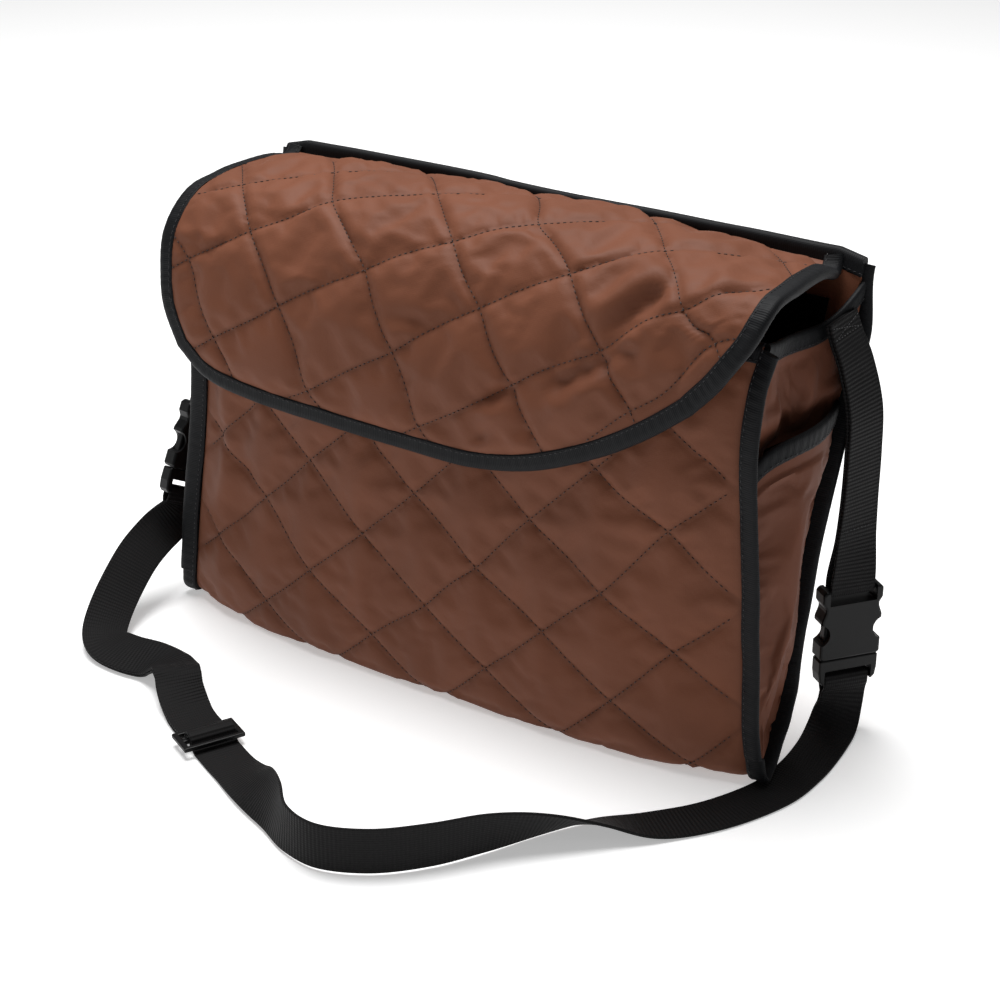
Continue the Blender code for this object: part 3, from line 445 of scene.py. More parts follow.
def ribbed(name, colour, rib, depth, roughness, sheen):
    """Woven polyester or polypropylene ribbon: ribs across its length, with painted highlight along their
    tops and painted shade between them.
    """
    material, tree, principled = new_material(
        name, Roughness=roughness, Sheen_Weight=sheen, Sheen_Roughness=0.4, Specular_IOR_Level=0.2
    )
    cloth = add(tree, "ShaderNodeUVMap", uv_map="cloth").outputs["UV"]
    ribs = add(
        tree, "ShaderNodeTexWave", {"Vector": cloth, "Scale": wave_scale(rib)}, bands_direction="X"
    )
    ends = add(
        tree, "ShaderNodeTexWave", {"Vector": cloth, "Scale": wave_scale(rib * 0.6)}, bands_direction="Y"
    )
    both = add(
        tree,
        "ShaderNodeMath",
        {0: ends.outputs["Fac"], 1: 0.35, 2: ribs.outputs["Fac"]},
        operation="MULTIPLY_ADD",
    ).outputs[0]
    place = add(tree, "ShaderNodeTexCoord").outputs["Object"]
    lint = add(tree, "ShaderNodeTexNoise", {"Vector": place, "Scale": 60.0, "Detail": 3.0})
    height = add(tree, "ShaderNodeMapRange", {"Value": both, "From Max": 1.35})
    # Painted light: rib tops lighter, the gaps between ribs darker.
    painted_rib_light = add(
        tree,
        "ShaderNodeMix",
        {0: height.outputs["Result"], 6: shade(colour, 0.7), 7: shade(colour, 1.35)},
        data_type="RGBA",
    ).outputs[2]
    base = add(
        tree, "ShaderNodeMix", {0: lint.outputs["Fac"], 6: painted_rib_light, 7: shade(colour, 1.1)}, data_type="RGBA"
    ).outputs[2]
    tree.links.new(base, principled.inputs["Base Color"])
    bump = add(tree, "ShaderNodeBump", {"Height": both, "Strength": 0.8, "Distance": depth})
    tree.links.new(bump.outputs[0], principled.inputs["Normal"])
    return material


def napped(name, colour, pile, depth):
    """Knitted fleece: a deep, lightless pile of short tufts."""
    material, tree, principled = new_material(name, Roughness=0.95, Sheen_Weight=0.2, Sheen_Roughness=0.7)
    place = add(tree, "ShaderNodeTexCoord").outputs["Object"]
    tufts = add(tree, "ShaderNodeTexNoise", {"Vector": place, "Scale": 1 / pile, "Detail": 4.0})
    base = add(
        tree,
        "ShaderNodeMix",
        {0: tufts.outputs["Fac"], 6: shade(colour, 0.6), 7: shade(colour, 1.5)},
        data_type="RGBA",
    ).outputs[2]
    tree.links.new(base, principled.inputs["Base Color"])
    bump = add(
        tree, "ShaderNodeBump", {"Height": tufts.outputs["Fac"], "Strength": 0.9, "Distance": depth}
    )
    tree.links.new(bump.outputs[0], principled.inputs["Normal"])
    return material


def moulded_acetal(name, colour):
    """Injection-moulded acetal: satin black, finely spark-eroded, with a soft waxy highlight."""
    material, tree, principled = new_material(name, Roughness=0.42, IOR=1.48, Specular_IOR_Level=0.22)
    place = add(tree, "ShaderNodeTexCoord").outputs["Object"]
    grain = add(tree, "ShaderNodeTexNoise", {"Vector": place, "Scale": 1400.0, "Detail": 2.0})
    cloud = add(tree, "ShaderNodeTexNoise", {"Vector": place, "Scale": 90.0, "Detail": 2.0})
    base = add(
        tree,
        "ShaderNodeMix",
        {0: cloud.outputs["Fac"], 6: shade(colour, 0.8), 7: shade(colour, 1.3)},
        data_type="RGBA",
    ).outputs[2]
    tree.links.new(base, principled.inputs["Base Color"])
    bump = add(
        tree, "ShaderNodeBump", {"Height": grain.outputs["Fac"], "Strength": 0.3, "Distance": 0.1 * MM}
    )
    tree.links.new(bump.outputs[0], principled.inputs["Normal"])
    return material


def spun_thread(name, colour):
    """Core-spun polyester thread: matt, with a slight twist."""
    material, tree, principled = new_material(name, Roughness=0.65, Sheen_Weight=0.2)
    place = add(tree, "ShaderNodeTexCoord").outputs["Object"]
    fuzz = add(tree, "ShaderNodeTexNoise", {"Vector": place, "Scale": 900.0})
    base = add(
        tree,
        "ShaderNodeMix",
        {0: fuzz.outputs["Fac"], 6: shade(colour, 0.75), 7: shade(colour, 1.3)},
        data_type="RGBA",
    ).outputs[2]
    tree.links.new(base, principled.inputs["Base Color"])
    return material


def matt_floor(name, colour):
    """Seamless studio paper on a light table: flat white."""
    material, tree, principled = new_material(
        name, Roughness=0.95, Specular_IOR_Level=0.1, Emission_Color=(1, 1, 1, 1), Emission_Strength=0.38
    )
    place = add(tree, "ShaderNodeTexCoord").outputs["Object"]
    tone = add(tree, "ShaderNodeTexNoise", {"Vector": place, "Scale": 1.5})
    base = add(
        tree,
        "ShaderNodeMix",
        {0: tone.outputs["Fac"], 6: shade(colour, 0.99), 7: shade(colour, 1.0)},
        data_type="RGBA",
    ).outputs[2]
    tree.links.new(base, principled.inputs["Base Color"])
    return material


FINISHES = {}


# Meshes


def link(name, mesh, finish, sharp=40):
    obj = bpy.data.objects.new(name, mesh)
    mesh.materials.append(FINISHES[finish])
    mesh.shade_smooth()
    if sharp:
        mesh.set_sharp_from_angle(angle=math.radians(sharp))
    bpy.context.scene.collection.objects.link(obj)
    return obj


def give_uv(mesh, plane):
    """The pieces' own flat coordinates in metres, for patterns that follow the cloth."""
    layer = mesh.uv_layers.new(name="cloth")
    corners = np.empty(len(mesh.loops), np.int32)
    mesh.loops.foreach_get("vertex_index", corners)
    layer.data.foreach_set("uv", np.asarray(plane, np.float32)[corners].reshape(-1))


def shell(name, outer, inner, faces, plane, finish, seam=None):
    """A closed shell from two layers of points that share the same faces."""
    faces = np.asarray(faces)
    used, index = np.unique(faces, return_inverse=True)
    faces = index.reshape(faces.shape)
    outer = np.asarray(outer)[used]
    inner = np.asarray(inner)[used]
    count = len(used)
    edges = np.concatenate([faces[:, [k, (k + 1) % 4]] for k in range(4)])
    known = {(a, b) for a, b in edges.tolist()}
    rim = [(a, b) for a, b in edges.tolist() if (b, a) not in known]
    walls = [(b, a, a + count, b + count) for a, b in rim]
    mesh = bpy.data.meshes.new(name)
    quads = faces.tolist() + (faces[:, ::-1] + count).tolist() + walls
    mesh.from_pydata(np.concatenate([outer, inner]).tolist(), [], quads)
    mesh.validate()
    plane = np.asarray(plane)[used]
    give_uv(mesh, np.concatenate([plane, plane]))
    # The seam values are painted shade for the quilting grooves, stored as the seam attribute; pieces
    # without them get none.
    painted_groove_shade = np.zeros(2 * count, np.float32)
    if seam is not None:
        painted_groove_shade[:count] = np.asarray(seam)[used]
    mesh.attributes.new("seam", "FLOAT", "POINT").data.foreach_set("value", painted_groove_shade)
    return link(name, mesh, finish, 60)


def ring_faces(rows, around):
    sides = [(k, (k + 1) % around) for k in range(around)]
    return [
        (i * around + a, i * around + b, (i + 1) * around + b, (i + 1) * around + a)
        for i in range(rows)
        for a, b in sides
    ]


def grid_faces(rows, columns):
    count = columns + 1
    corners = [j * count + i for j in range(rows) for i in range(columns)]
    return np.array([(a, a + count, a + count + 1, a + 1) for a in corners])


def tube(name, rings, plane, finish):
    """A closed skin over rings of points, with flat ends."""
    rings = np.asarray(rings)
    rows, around = rings.shape[:2]
    faces = ring_faces(rows - 1, around)
    faces.append(tuple(range(around))[::-1])
    faces.append(tuple(range((rows - 1) * around, rows * around)))
    mesh = bpy.data.meshes.new(name)
    mesh.from_pydata(rings.reshape(-1, 3).tolist(), [], faces)
    turn_outwards(mesh)
    give_uv(mesh, np.asarray(plane).reshape(-1, 2))
    return link(name, mesh, finish)


def turn_outwards(mesh):
    """Turns a closed mesh's faces round if they enclose a negative volume."""
    mesh.calc_loop_triangles()
    points = np.empty(len(mesh.vertices) * 3)
    mesh.vertices.foreach_get("co", points)
    points = points.reshape(-1, 3)
    corners = np.empty(len(mesh.loop_triangles) * 3, np.int32)
    mesh.loop_triangles.foreach_get("vertices", corners)
    if np.linalg.det(points[corners.reshape(-1, 3)]).sum() < 0:
        mesh.flip_normals()


def refined(values, times):
    """A grid of values with more rows and columns, on smooth curves through the old ones."""
    for axis in (0, 1):
        values = np.moveaxis(values, axis, 0)
        last = len(values) - 1
        t = np.arange(last * times + 1) / times
        i = np.minimum(t.astype(int), last - 1)
        f = (t - i).reshape((-1,) + (1,) * (values.ndim - 1))
        p0, p1, p2, p3 = (values[np.clip(i + k, 0, last)] for k in (-1, 0, 1, 2))
        bend = 2 * p0 - 5 * p1 + 4 * p2 - p3 + f * (3 * (p1 - p2) + p3 - p0)
        values = p1 + 0.5 * f * (p2 - p0 + f * bend)
        values = np.moveaxis(values, 0, axis)
    return values


def settle(points, faces, held, pressure, slack, cap, stiff):
    """How far each point of cloth held at its seams moves as it swells and crinkles round its wadding."""
    used, index = np.unique(faces, return_inverse=True)
    mesh = bpy.data.meshes.new("settling")
    mesh.from_pydata(points[used].tolist(), [], index.reshape(np.shape(faces)).tolist())
    obj = bpy.data.objects.new("settling", mesh)
    bpy.context.scene.collection.objects.link(obj)
    group = obj.vertex_groups.new(name="sewn")
    group.add(np.flatnonzero(held[used]).tolist(), 1.0, "REPLACE")
    modifier = obj.modifiers.new("settle", "CLOTH")
    cloth = modifier.settings
    cloth.quality = 5
    cloth.mass = 0.3
    cloth.tension_stiffness = 15
    cloth.compression_stiffness = 15
    cloth.shear_stiffness = 5
    cloth.bending_stiffness = stiff
    cloth.vertex_group_mass = "sewn"
    cloth.shrink_min = -slack
    cloth.use_pressure = True
    cloth.uniform_pressure_force = pressure
    cloth.effector_weights.gravity = 0
    modifier.collision_settings.use_collision = False
    modifier.point_cache.frame_start = 1
    modifier.point_cache.frame_end = 20
    scene = bpy.context.scene
    for step in range(1, 21):
        scene.frame_set(step)
    graph = bpy.context.evaluated_depsgraph_get()
    settled = obj.evaluated_get(graph).to_mesh()
    ends = np.empty(len(settled.vertices) * 3)
    settled.vertices.foreach_get("co", ends)
    moved = np.zeros_like(points)
    moved[used] = ends.reshape(-1, 3) - points[used]
    bpy.data.objects.remove(obj, do_unlink=True)
    bpy.data.meshes.remove(mesh)
    scene.frame_set(1)
    far = np.linalg.norm(moved, axis=1, keepdims=True)
    return np.where(np.isfinite(far), moved * np.minimum(1, cap / np.maximum(far, 1e-9)), 0)


# Quilting

QUILT_CELLS = 10  # mesh cells from one quilting line to the next
QUILT_STIFFNESS = 3.0


class Quilt:
    """A quilted panel: a mesh that follows the quilting lines, swollen between them."""

    def __init__(self, surface, crossings, reach, inside, nearest, refine, creases, seed):
        self.surface = surface
        self.inside = inside
        self.nearest = nearest
        self.creases = creases
        self.seed = seed
        table = np.array(crossings, float)
        ones = np.c_[table[:, :2], np.ones(len(table))]
        self.affine = np.linalg.lstsq(ones, table[:, 2:] * MM, rcond=None)[0]
        self.known = table[:, :2]
        self.rest = table[:, 2:] * MM - ones @ self.affine
        low_p, high_p, low_q, high_q = reach
        self.p = np.linspace(low_p, high_p, (high_p - low_p) * QUILT_CELLS + 1)
        self.q = np.linspace(low_q, high_q, (high_q - low_q) * QUILT_CELLS + 1)
        self.refine = refine

    def flat(self, p, q):
        """Across and along the cloth at line numbers p and q."""
        base = np.array([p, q, 1.0]) @ self.affine
        gaps = ((self.known - (p, q)) ** 2).sum(1)
        weights = 1 / (gaps + 0.02)
        fade = min(1, 1.6 / (1 + gaps.min()))
        return base + (weights @ self.rest) / weights.sum() * fade

    def layout(self, p, q):
        """Flat coordinates, points, outward directions and which points lie inside, over line numbers."""
        flat = np.array([[self.flat(a, b) for b in q] for a in p])
        within = np.array([[self.inside(*c) for c in row] for row in flat])
        flat = np.array(
            [[c if ok else self.nearest(*c) for c, ok in zip(row, oks)] for row, oks in zip(flat, within)]
        )
        points = np.array([[self.surface(*c) for c in row] for row in flat])
        normals = np.array([[face_of(self.surface, *c) for c in row] for row in flat])
        return flat, points, normals, within

    def build(self, name, swell, slack, cap, sizes):
        """The panel's mesh: settled on the lattice first, then refined, grooved and puckered."""
        flat, points, normals, within = self.layout(self.p, self.q)
        on_p, on_q = (np.arange(len(numbers)) % QUILT_CELLS == 0 for numbers in (self.p, self.q))
        on_line = on_p[:, None] | on_q
        held = on_line | ~within
        lift = self.swelling(self.p, self.q) * swell
        lift = np.where(held, 0, lift)
        start = points + normals * lift[..., None]
        faces = self.faces(within)
        moved = settle(
            start.reshape(-1, 3), faces, held.reshape(-1), sizes.pressure, slack, cap, QUILT_STIFFNESS
        ).reshape(points.shape)
        offset = moved + normals * lift[..., None]
        offset = np.where(within[..., None], offset, 0)
        k = self.refine
        p = np.linspace(self.p[0], self.p[-1], (len(self.p) - 1) * k + 1)
        q = np.linspace(self.q[0], self.q[-1], (len(self.q) - 1) * k + 1)
        flat, base, normals, within = self.layout(p, q)
        offset = refined(offset, k)
        edge = self.edge_distance(flat)
        away_p, away_q = self.line_distances(p, q)
        seam_gap = np.minimum(away_p, away_q)
        sunk = -sizes.groove * np.exp(-((seam_gap / (1.7 * MM)) ** 2))
        small = self.details(flat, p, q, away_p, away_q)
        covered = self.covered(flat, edge)
        inland = np.clip(covered / (7 * MM), 0, 1)
        offset = offset * np.clip(covered / (5 * MM), 0, 1)[..., None]
        self.outer = base + offset + normals * ((sunk + small) * inland)[..., None]
        self.outer[..., 2] = np.maximum(self.outer[..., 2], 0.2 * MM)
        self.grid_p, self.grid_q = p, q
        self.normals = normals
        thickness = CLOTH * (0.62 + 0.38 * np.clip(edge / (12 * MM), 0, 1))
        inner = base - normals * thickness[..., None]
        # Painted shade along the quilting lines, strongest on the line and falling off within about 2 mm.
        seam = np.exp(-((seam_gap / (1.0 * MM)) ** 2))
        faces = self.faces(within)
        self.flat_grid = flat
        return shell(
            name,
            self.outer.reshape(-1, 3),
            inner.reshape(-1, 3),
            faces,
            flat.reshape(-1, 2),
            "quilted_cloth",
            seam.reshape(-1),
        )

    def faces(self, within):
        rows, columns = within.shape
        touching = within[1:, 1:] | within[1:, :-1] | within[:-1, 1:] | within[:-1, :-1]
        return grid_faces(rows - 1, columns - 1)[touching.reshape(-1)]

    def swelling(self, p, q):
        a = np.sin(np.pi * np.mod(p, 1)) ** 0.75
        b = np.sin(np.pi * np.mod(q, 1)) ** 0.75
        return a[:, None] * b[None, :]

    def line_distances(self, p, q):
        """How far each grid point is from the nearest line of each family, in metres."""
        step_p = np.linalg.norm(self.affine[0])
        step_q = np.linalg.norm(self.affine[1])
        sine = abs(np.cross(self.affine[0], self.affine[1])) / step_p / step_q
        away_p = np.abs(p - np.round(p)) * step_p * sine
        away_q = np.abs(q - np.round(q)) * step_q * sine
        shape = (len(p), len(q))
        return np.broadcast_to(away_p[:, None], shape), np.broadcast_to(away_q[None, :], shape)

    def details(self, flat, p, q, away_p, away_q):
        """Puckers along the quilting lines, creases and soft unevenness."""
        x, s = flat[..., 0], flat[..., 1]
        height = np.zeros(x.shape)
        for x0, s0, x1, s1, tall, wide in self.creases:
            start = np.array((x0, s0)) * MM
            along = np.array((x1 - x0, s1 - s0)) * MM
            length = np.linalg.norm(along)
            t = ((flat - start) @ along) / length**2
            off = flat - start - np.clip(t, 0, 1)[..., None] * along
            gap = np.linalg.norm(off, axis=-1) / (wide * MM)
            taper = np.sin(np.pi * np.clip(t, 0.04, 0.96)) ** 0.7
            height += 1.25 * tall * MM * taper * np.exp(-(gap**2))
        side_p = np.linalg.norm(self.affine[0])
        side_q = np.linalg.norm(self.affine[1])
        flat_list = flat.reshape(-1, 2)
        uneven = np.array([wander(a, b, self.seed, 34 * MM) for a, b in flat_list]).reshape(x.shape)
        fine = np.array([wander(a, b, self.seed + 1, 9 * MM) for a, b in flat_list]).reshape(x.shape)
        height += 0.8 * MM * uneven + 0.15 * MM * fine
        for away, along in ((away_p, q[None, :] * side_q), (away_q, p[:, None] * side_p)):
            near = np.exp(-((away / (6 * MM)) ** 2)) * np.clip(away / (1.5 * MM), 0, 1)
            height += 0.28 * MM * near * np.sin(2 * np.pi * along / (6.5 * MM) + 5 * uneven + 3 * fine)
        return height

    def edge_distance(self, flat):
        raise NotImplementedError

    def covered(self, flat, edge):
        """How far each point is from what binding tape covers."""
        return edge

    def at(self, p, q):
        """The finished outer face and its direction at line numbers p and q."""
        out = []
        i = (p - self.grid_p[0]) / (self.grid_p[1] - self.grid_p[0])
        j = (q - self.grid_q[0]) / (self.grid_q[1] - self.grid_q[0])
        i0 = min(max(int(i), 0), len(self.grid_p) - 2)
        j0 = min(max(int(j), 0), len(self.grid_q) - 2)
        f, g = i - i0, j - j0
        for grid in (self.outer, self.normals, self.flat_grid):
            top = grid[i0, j0] * (1 - g) + grid[i0, j0 + 1] * g
            low = grid[i0 + 1, j0] * (1 - g) + grid[i0 + 1, j0 + 1] * g
            out.append(top * (1 - f) + low * f)
        return out

    def lines(self):
        """Runs of (point, direction) along every quilting line, inside the panel."""
        runs = []
        whole_p = [v for v in np.unique(np.round(self.p)) if self.p[0] <= v <= self.p[-1]]
        whole_q = [v for v in np.unique(np.round(self.q)) if self.q[0] <= v <= self.q[-1]]
        for fixed, along, swap in ((whole_p, self.q, False), (whole_q, self.p, True)):
            steps = np.linspace(along[0], along[-1], (len(along) - 1) * 2 + 1)
            for value in fixed:
                run = []
                for t in steps:
                    point, normal, flat = self.at(t, value) if swap else self.at(value, t)
                    if self.inside(*flat) and self.edge_distance(flat[None, None])[0, 0] > 7 * MM:
                        run.append((point + normal * 0.25 * MM, normal))
                    elif len(run) > 2:
                        runs.append(run)
                        run = []
                    else:
                        run = []
                if len(run) > 2:
                    runs.append(run)
        return runs


class BodyQuilt(Quilt):
    def __init__(self):
        super().__init__(
            on_body,
            BODY_CROSSINGS,
            (-5, 16, -12, 7),
            lambda x, s: abs(x) < BODY_HALF and 2 * MM < s < BODY_LENGTH - 2 * MM,
            lambda x, s: (min(max(x, -BODY_HALF), BODY_HALF), min(max(s, 2 * MM), BODY_LENGTH - 2 * MM)),
            2,
            BODY_CREASES,
            3,
        )

    def edge_distance(self, flat):
        x, s = flat[..., 0], flat[..., 1]
        return np.minimum(BODY_HALF - np.abs(x), np.minimum(s, BODY_LENGTH - s))

    def covered(self, flat, edge):
        x, s = flat[..., 0], flat[..., 1]
        from_ends = np.minimum(s, BODY_LENGTH - s) - TAPE_WIDTH
        return np.maximum(np.minimum(BODY_HALF - np.abs(x), from_ends), 0)


FLAP_BORDER = [flap_rim(t, 3 * MM) for t in np.linspace(0.004, 0.996, 240)]
FLAP_POLYGON = np.array([(c.x, max(c.y, 1.5 * MM)) for c in FLAP_BORDER])


def border_nearest(x, s):
    """The nearest point of the flap's border and how far it is."""
    start = FLAP_POLYGON
    along = np.roll(FLAP_POLYGON, -1, axis=0) - start
    t = np.clip((((x, s) - start) * along).sum(1) / np.maximum((along**2).sum(1), 1e-12), 0, 1)
    found = start + along * t[:, None]
    gaps = np.hypot(found[:, 0] - x, found[:, 1] - s)
    best = int(gaps.argmin())
    return found[best], gaps[best]


def inside_flap(x, s):
    a = FLAP_POLYGON
    b = np.roll(FLAP_POLYGON, -1, axis=0)
    spans = (a[:, 1] > s) != (b[:, 1] > s)
    rise = np.where(b[:, 1] == a[:, 1], 1, b[:, 1] - a[:, 1])
    cross = (b[:, 0] - a[:, 0]) * (s - a[:, 1]) / rise + a[:, 0]
    return bool(np.count_nonzero(spans & (x < cross)) % 2)


class FlapQuilt(Quilt):
    def __init__(self):
        super().__init__(
            on_flap,
            FLAP_CROSSINGS,
            (-4, 8, -4, 9),
            inside_flap,
            lambda x, s: tuple(border_nearest(x, s)[0]),
            2,
            FLAP_CREASES,
            11,
        )

    def edge_distance(self, flat):
        shape = flat.shape[:-1]
        gaps = [border_nearest(x, s)[1] if inside_flap(x, s) else 0 for x, s in flat.reshape(-1, 2)]
        return np.array(gaps).reshape(shape)

    def covered(self, flat, edge):
        return np.maximum(edge - 6.5 * MM, 0)


# Binding tape

# Half of the folded tape's section: how far in from its edge, and how far off its middle, both as shares.
TAPE_SECTION = (
    (0.98, 0.60), (1.0, 0.82), (0.93, 1.0), (0.72, 0.92),
    (0.45, 1.0), (0.2, 0.93), (0.06, 0.66), (0.0, 0.24),
)


def tape(name, rim, inwards, facing, width, half, seed, pucker=0.35 * MM):
    """A folded tape round an edge: its rim, the way in across the cloth and the cloth's outward side."""
    rim = np.asarray(rim)
    inwards = np.asarray(inwards)
    facing = np.asarray(facing)
    along = np.concatenate([[0], np.cumsum(np.linalg.norm(np.diff(rim, axis=0), axis=1))])
    section = list(TAPE_SECTION) + [(a, -b) for a, b in reversed(TAPE_SECTION)]
    rings = np.empty((len(rim), len(section), 3))
    plane = np.empty((len(rim), len(section), 2))
    for i, s in enumerate(along):
        wide = width * (1 + 0.05 * wander(s, 0, seed, 22 * MM))
        swell = 0.12 * wander(s, 1, seed, 14 * MM)
        ripple = pucker * math.sin(2 * math.pi * s / (5.2 * MM) + 4 * wander(s, 2, seed, 12 * MM))
        for k, (a, b) in enumerate(section):
            stretch = ripple * (0.5 if 0.3 < a < 0.9 else 0.15) * math.copysign(1, b)
            off = half * b * (1 + swell) + stretch
            rings[i, k] = rim[i] + inwards[i] * a * wide + facing[i] * off
            plane[i, k] = (s, (a if b > 0 else -a) * width)
    return tube(name, rings, plane, "binding_tape")


def unit(vectors):
    vectors = np.asarray(vectors, float)
    return vectors / np.maximum(np.linalg.norm(vectors, axis=-1, keepdims=True), 1e-12)


def tape_stitches(rim, inwards, facing, width, half, faces=(1, -1)):
    """Stitch runs close to the tape's inner edge, on one or both faces."""
    rim, inwards, facing = (np.asarray(v) for v in (rim, inwards, facing))
    runs = []
    for face in faces:
        line = rim + inwards * width * 0.84 + facing * (face * (half * 0.98 + 0.15 * MM))
        runs.append(list(zip(line, facing * face)))
    return runs


# Stitches


def stitch_tree(finish):
    """Short threads along every line of the mesh it is given."""
    tree = bpy.data.node_groups.new("stitches", "GeometryNodeTree")
    face = tree.interface
    face.new_socket("Geometry", in_out="INPUT", socket_type="NodeSocketGeometry")
    for name, default in (("Pitch", 2.9 * MM), ("Stitch length", 2.2 * MM), ("Thread", 0.45 * MM)):
        socket = face.new_socket(name, in_out="INPUT", socket_type="NodeSocketFloat")
        socket.subtype = "DISTANCE"
        socket.default_value = default
    face.new_socket("Geometry", in_out="OUTPUT", socket_type="NodeSocketGeometry")
    given = add(tree, "NodeGroupInput").outputs
    curve = add(tree, "GeometryNodeMeshToCurve", {"Mesh": given["Geometry"]})
    spaced = add(
        tree,
        "GeometryNodeResampleCurve",
        {"Curve": curve.outputs[0], "Length": given["Pitch"]},
        mode="LENGTH",
    )
    facing = add(tree, "GeometryNodeInputNamedAttribute", {"Name": "facing"}, data_type="FLOAT_VECTOR")
    along = add(tree, "GeometryNodeInputTangent")
    first = add(tree, "FunctionNodeAlignRotationToVector", {"Vector": along.outputs[0]}, axis="X")
    second = add(
        tree,
        "FunctionNodeAlignRotationToVector",
        {"Rotation": first.outputs[0], "Vector": facing.outputs[0]},
        axis="Z",
        pivot_axis="X",
    )
    ball = add(tree, "GeometryNodeMeshIcoSphere", {"Radius": 0.5, "Subdivisions": 1})
    size = add(
        tree,
        "ShaderNodeCombineXYZ",
        {"X": given["Stitch length"], "Y": given["Thread"], "Z": given["Thread"]},
    )
    placed = add(
        tree,
        "GeometryNodeInstanceOnPoints",
        {
            "Points": spaced.outputs[0],
            "Instance": ball.outputs[0],
            "Rotation": second.outputs[0],
            "Scale": size.outputs[0],
        },
    )
    real = add(tree, "GeometryNodeRealizeInstances", {"Geometry": placed.outputs[0]})
    done = add(
        tree, "GeometryNodeSetMaterial", {"Geometry": real.outputs[0], "Material": FINISHES[finish]}
    )
    add(tree, "NodeGroupOutput", {"Geometry": done.outputs[0]})
    return tree


def sew(name, runs, pitch, length, thread, finish):
    """Stitches along runs of (point, direction), as one plain mesh."""
    points, facing, edges = [], [], []
    for run in runs:
        start = len(points)
        points += [tuple(point) for point, _ in run]
        facing += [tuple(direction) for _, direction in run]
        edges += [(k, k + 1) for k in range(start, len(points) - 1)]
    mesh = bpy.data.meshes.new(name + "_lines")
    mesh.from_pydata(points, edges, [])
    mesh.attributes.new("facing", "FLOAT_VECTOR", "POINT").data.foreach_set(
        "vector", np.array(facing, np.float32).reshape(-1)
    )
    guide = bpy.data.objects.new(name + "_lines", mesh)
    bpy.context.scene.collection.objects.link(guide)
    tree = stitch_tree(finish)
    modifier = guide.modifiers.new("stitches", "NODES")
    modifier.node_group = tree
    wanted = {"Pitch": pitch, "Stitch length": length, "Thread": thread}
    for item in tree.interface.items_tree:
        if item.item_type == "SOCKET" and item.in_out == "INPUT" and item.name in wanted:
            modifier[item.identifier] = wanted[item.name]
    graph = bpy.context.evaluated_depsgraph_get()
    made = bpy.data.meshes.new_from_object(guide.evaluated_get(graph))
    bpy.data.objects.remove(guide, do_unlink=True)
    bpy.data.node_groups.remove(tree)
    made.name = name
    made.shade_smooth()
    obj = bpy.data.objects.new(name, made)
    bpy.context.scene.collection.objects.link(obj)
    return obj


# Webbing


def webbing_frame(route, t):
    x, y, z, heading, rise = spline(route, t)
    ahead = Vector(spline(route, t + 0.02)[:3]) - Vector(spline(route, t - 0.02)[:3])
    along = ahead.normalized()
    heading = math.radians(heading)
    rise = math.radians(rise)
    level = math.cos(rise)
    width = Vector((level * math.cos(heading), level * math.sin(heading), math.sin(rise)))
    width = (width - along * width.dot(along)).normalized()
    return Vector((x, y, z)) * MM, width, width.cross(along)


def route_rows(route, start, end, count, layer):
    rows = []
    for i in range(count + 1):
        t = start + (end - start) * i / count
        middle, width, face = webbing_frame(route, t)
        rows.append((middle + face * layer(t), width))
    return rows


def loop_rows(matrix, bar_height, opening, first_side, count=14):
    """Rows round a buckle's bar, through the slot that lies above it (opening 1) or below it (-1)."""
    width = matrix.col[0].xyz.normalized()
    rows = []
    for i in range(count + 1):
        angle = math.pi * i / count
        across = first_side * math.copysign(abs(math.cos(angle)) ** 0.8, math.cos(angle)) * LOOP_REACH
        up = opening * math.sin(angle) ** 0.8 * (LOOP_REACH + 0.1 * MM)
        rows.append((matrix @ Vector((0, across, bar_height + up)), width))
    return rows


# The webbing's section: share of its half width, share of its half thickness.
WEBBING_SECTION = (
    (-1.0, 0.3), (-0.985, 0.8), (-0.955, 1.08), (-0.9, 0.98), (-0.45, 1.0), (0.0, 1.0), (0.45, 1.0),
    (0.9, 0.98), (0.955, 1.08), (0.985, 0.8), (1.0, 0.3),
)


def webbing(name, rows, spacing=1.6 * MM):
    """One webbing layer through rows of (middle, width)."""
    middles = np.array([tuple(m) for m, _ in rows])
    widths = np.array([tuple(w) for _, w in rows])
    steps = np.linalg.norm(np.diff(middles, axis=0), axis=1)
    along = np.concatenate([[0], np.cumsum(steps)])
    keep = np.concatenate([[True], steps > 1e-6])
    middles, widths, along = middles[keep], widths[keep], along[keep]
    even = np.linspace(0, along[-1], max(int(along[-1] / spacing), 8))
    middles = np.stack([np.interp(even, along, middles[:, k]) for k in range(3)], 1)
    widths = unit(np.stack([np.interp(even, along, widths[:, k]) for k in range(3)], 1))
    ahead = unit(np.gradient(middles, axis=0))
    widths = unit(widths - ahead * (widths * ahead).sum(1, keepdims=True))
    faces = np.cross(widths, ahead)
    section = list(WEBBING_SECTION) + [(a, -b) for a, b in reversed(WEBBING_SECTION)]
    rings = np.empty((len(even), len(section), 3))
    plane = np.empty((len(even), len(section), 2))
    for k, (a, b) in enumerate(section):
        rings[:, k] = middles + widths * (a * WEBBING / 2) + faces * (b * WEBBING_THICK / 2)
        plane[:, k, 0] = even
        plane[:, k, 1] = a * WEBBING / 2
    rings[..., 2] = np.maximum(rings[..., 2], 0.02 * MM)
    obj = tube(name, rings, plane, "webbing")
    return obj, middles, widths, faces


def buckle_matrix(mouth, up, heading):
    up = up.normalized()
    across = Vector((math.cos(heading), math.sin(heading), 0))
    across = (across - up * across.dot(up)).normalized()
    through = up.cross(across)
    turn = Matrix((across, through, up)).transposed().to_4x4()
    return Matrix.Translation(mouth) @ turn


RIGHT_FRAME = buckle_matrix(RIGHT_MOUTH, Vector((0, 0, 1)), RIGHT_HEADING)
LEFT_FRAME = buckle_matrix(LEFT_MOUTH, LEFT_RISE, LEFT_HEADING)


def on_bag(piece, node=None):
    """Fixes a piece to the bag's body, in place of the solid it stands for."""
    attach(piece, "bag")
    if node:
        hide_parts(node)


# Properties


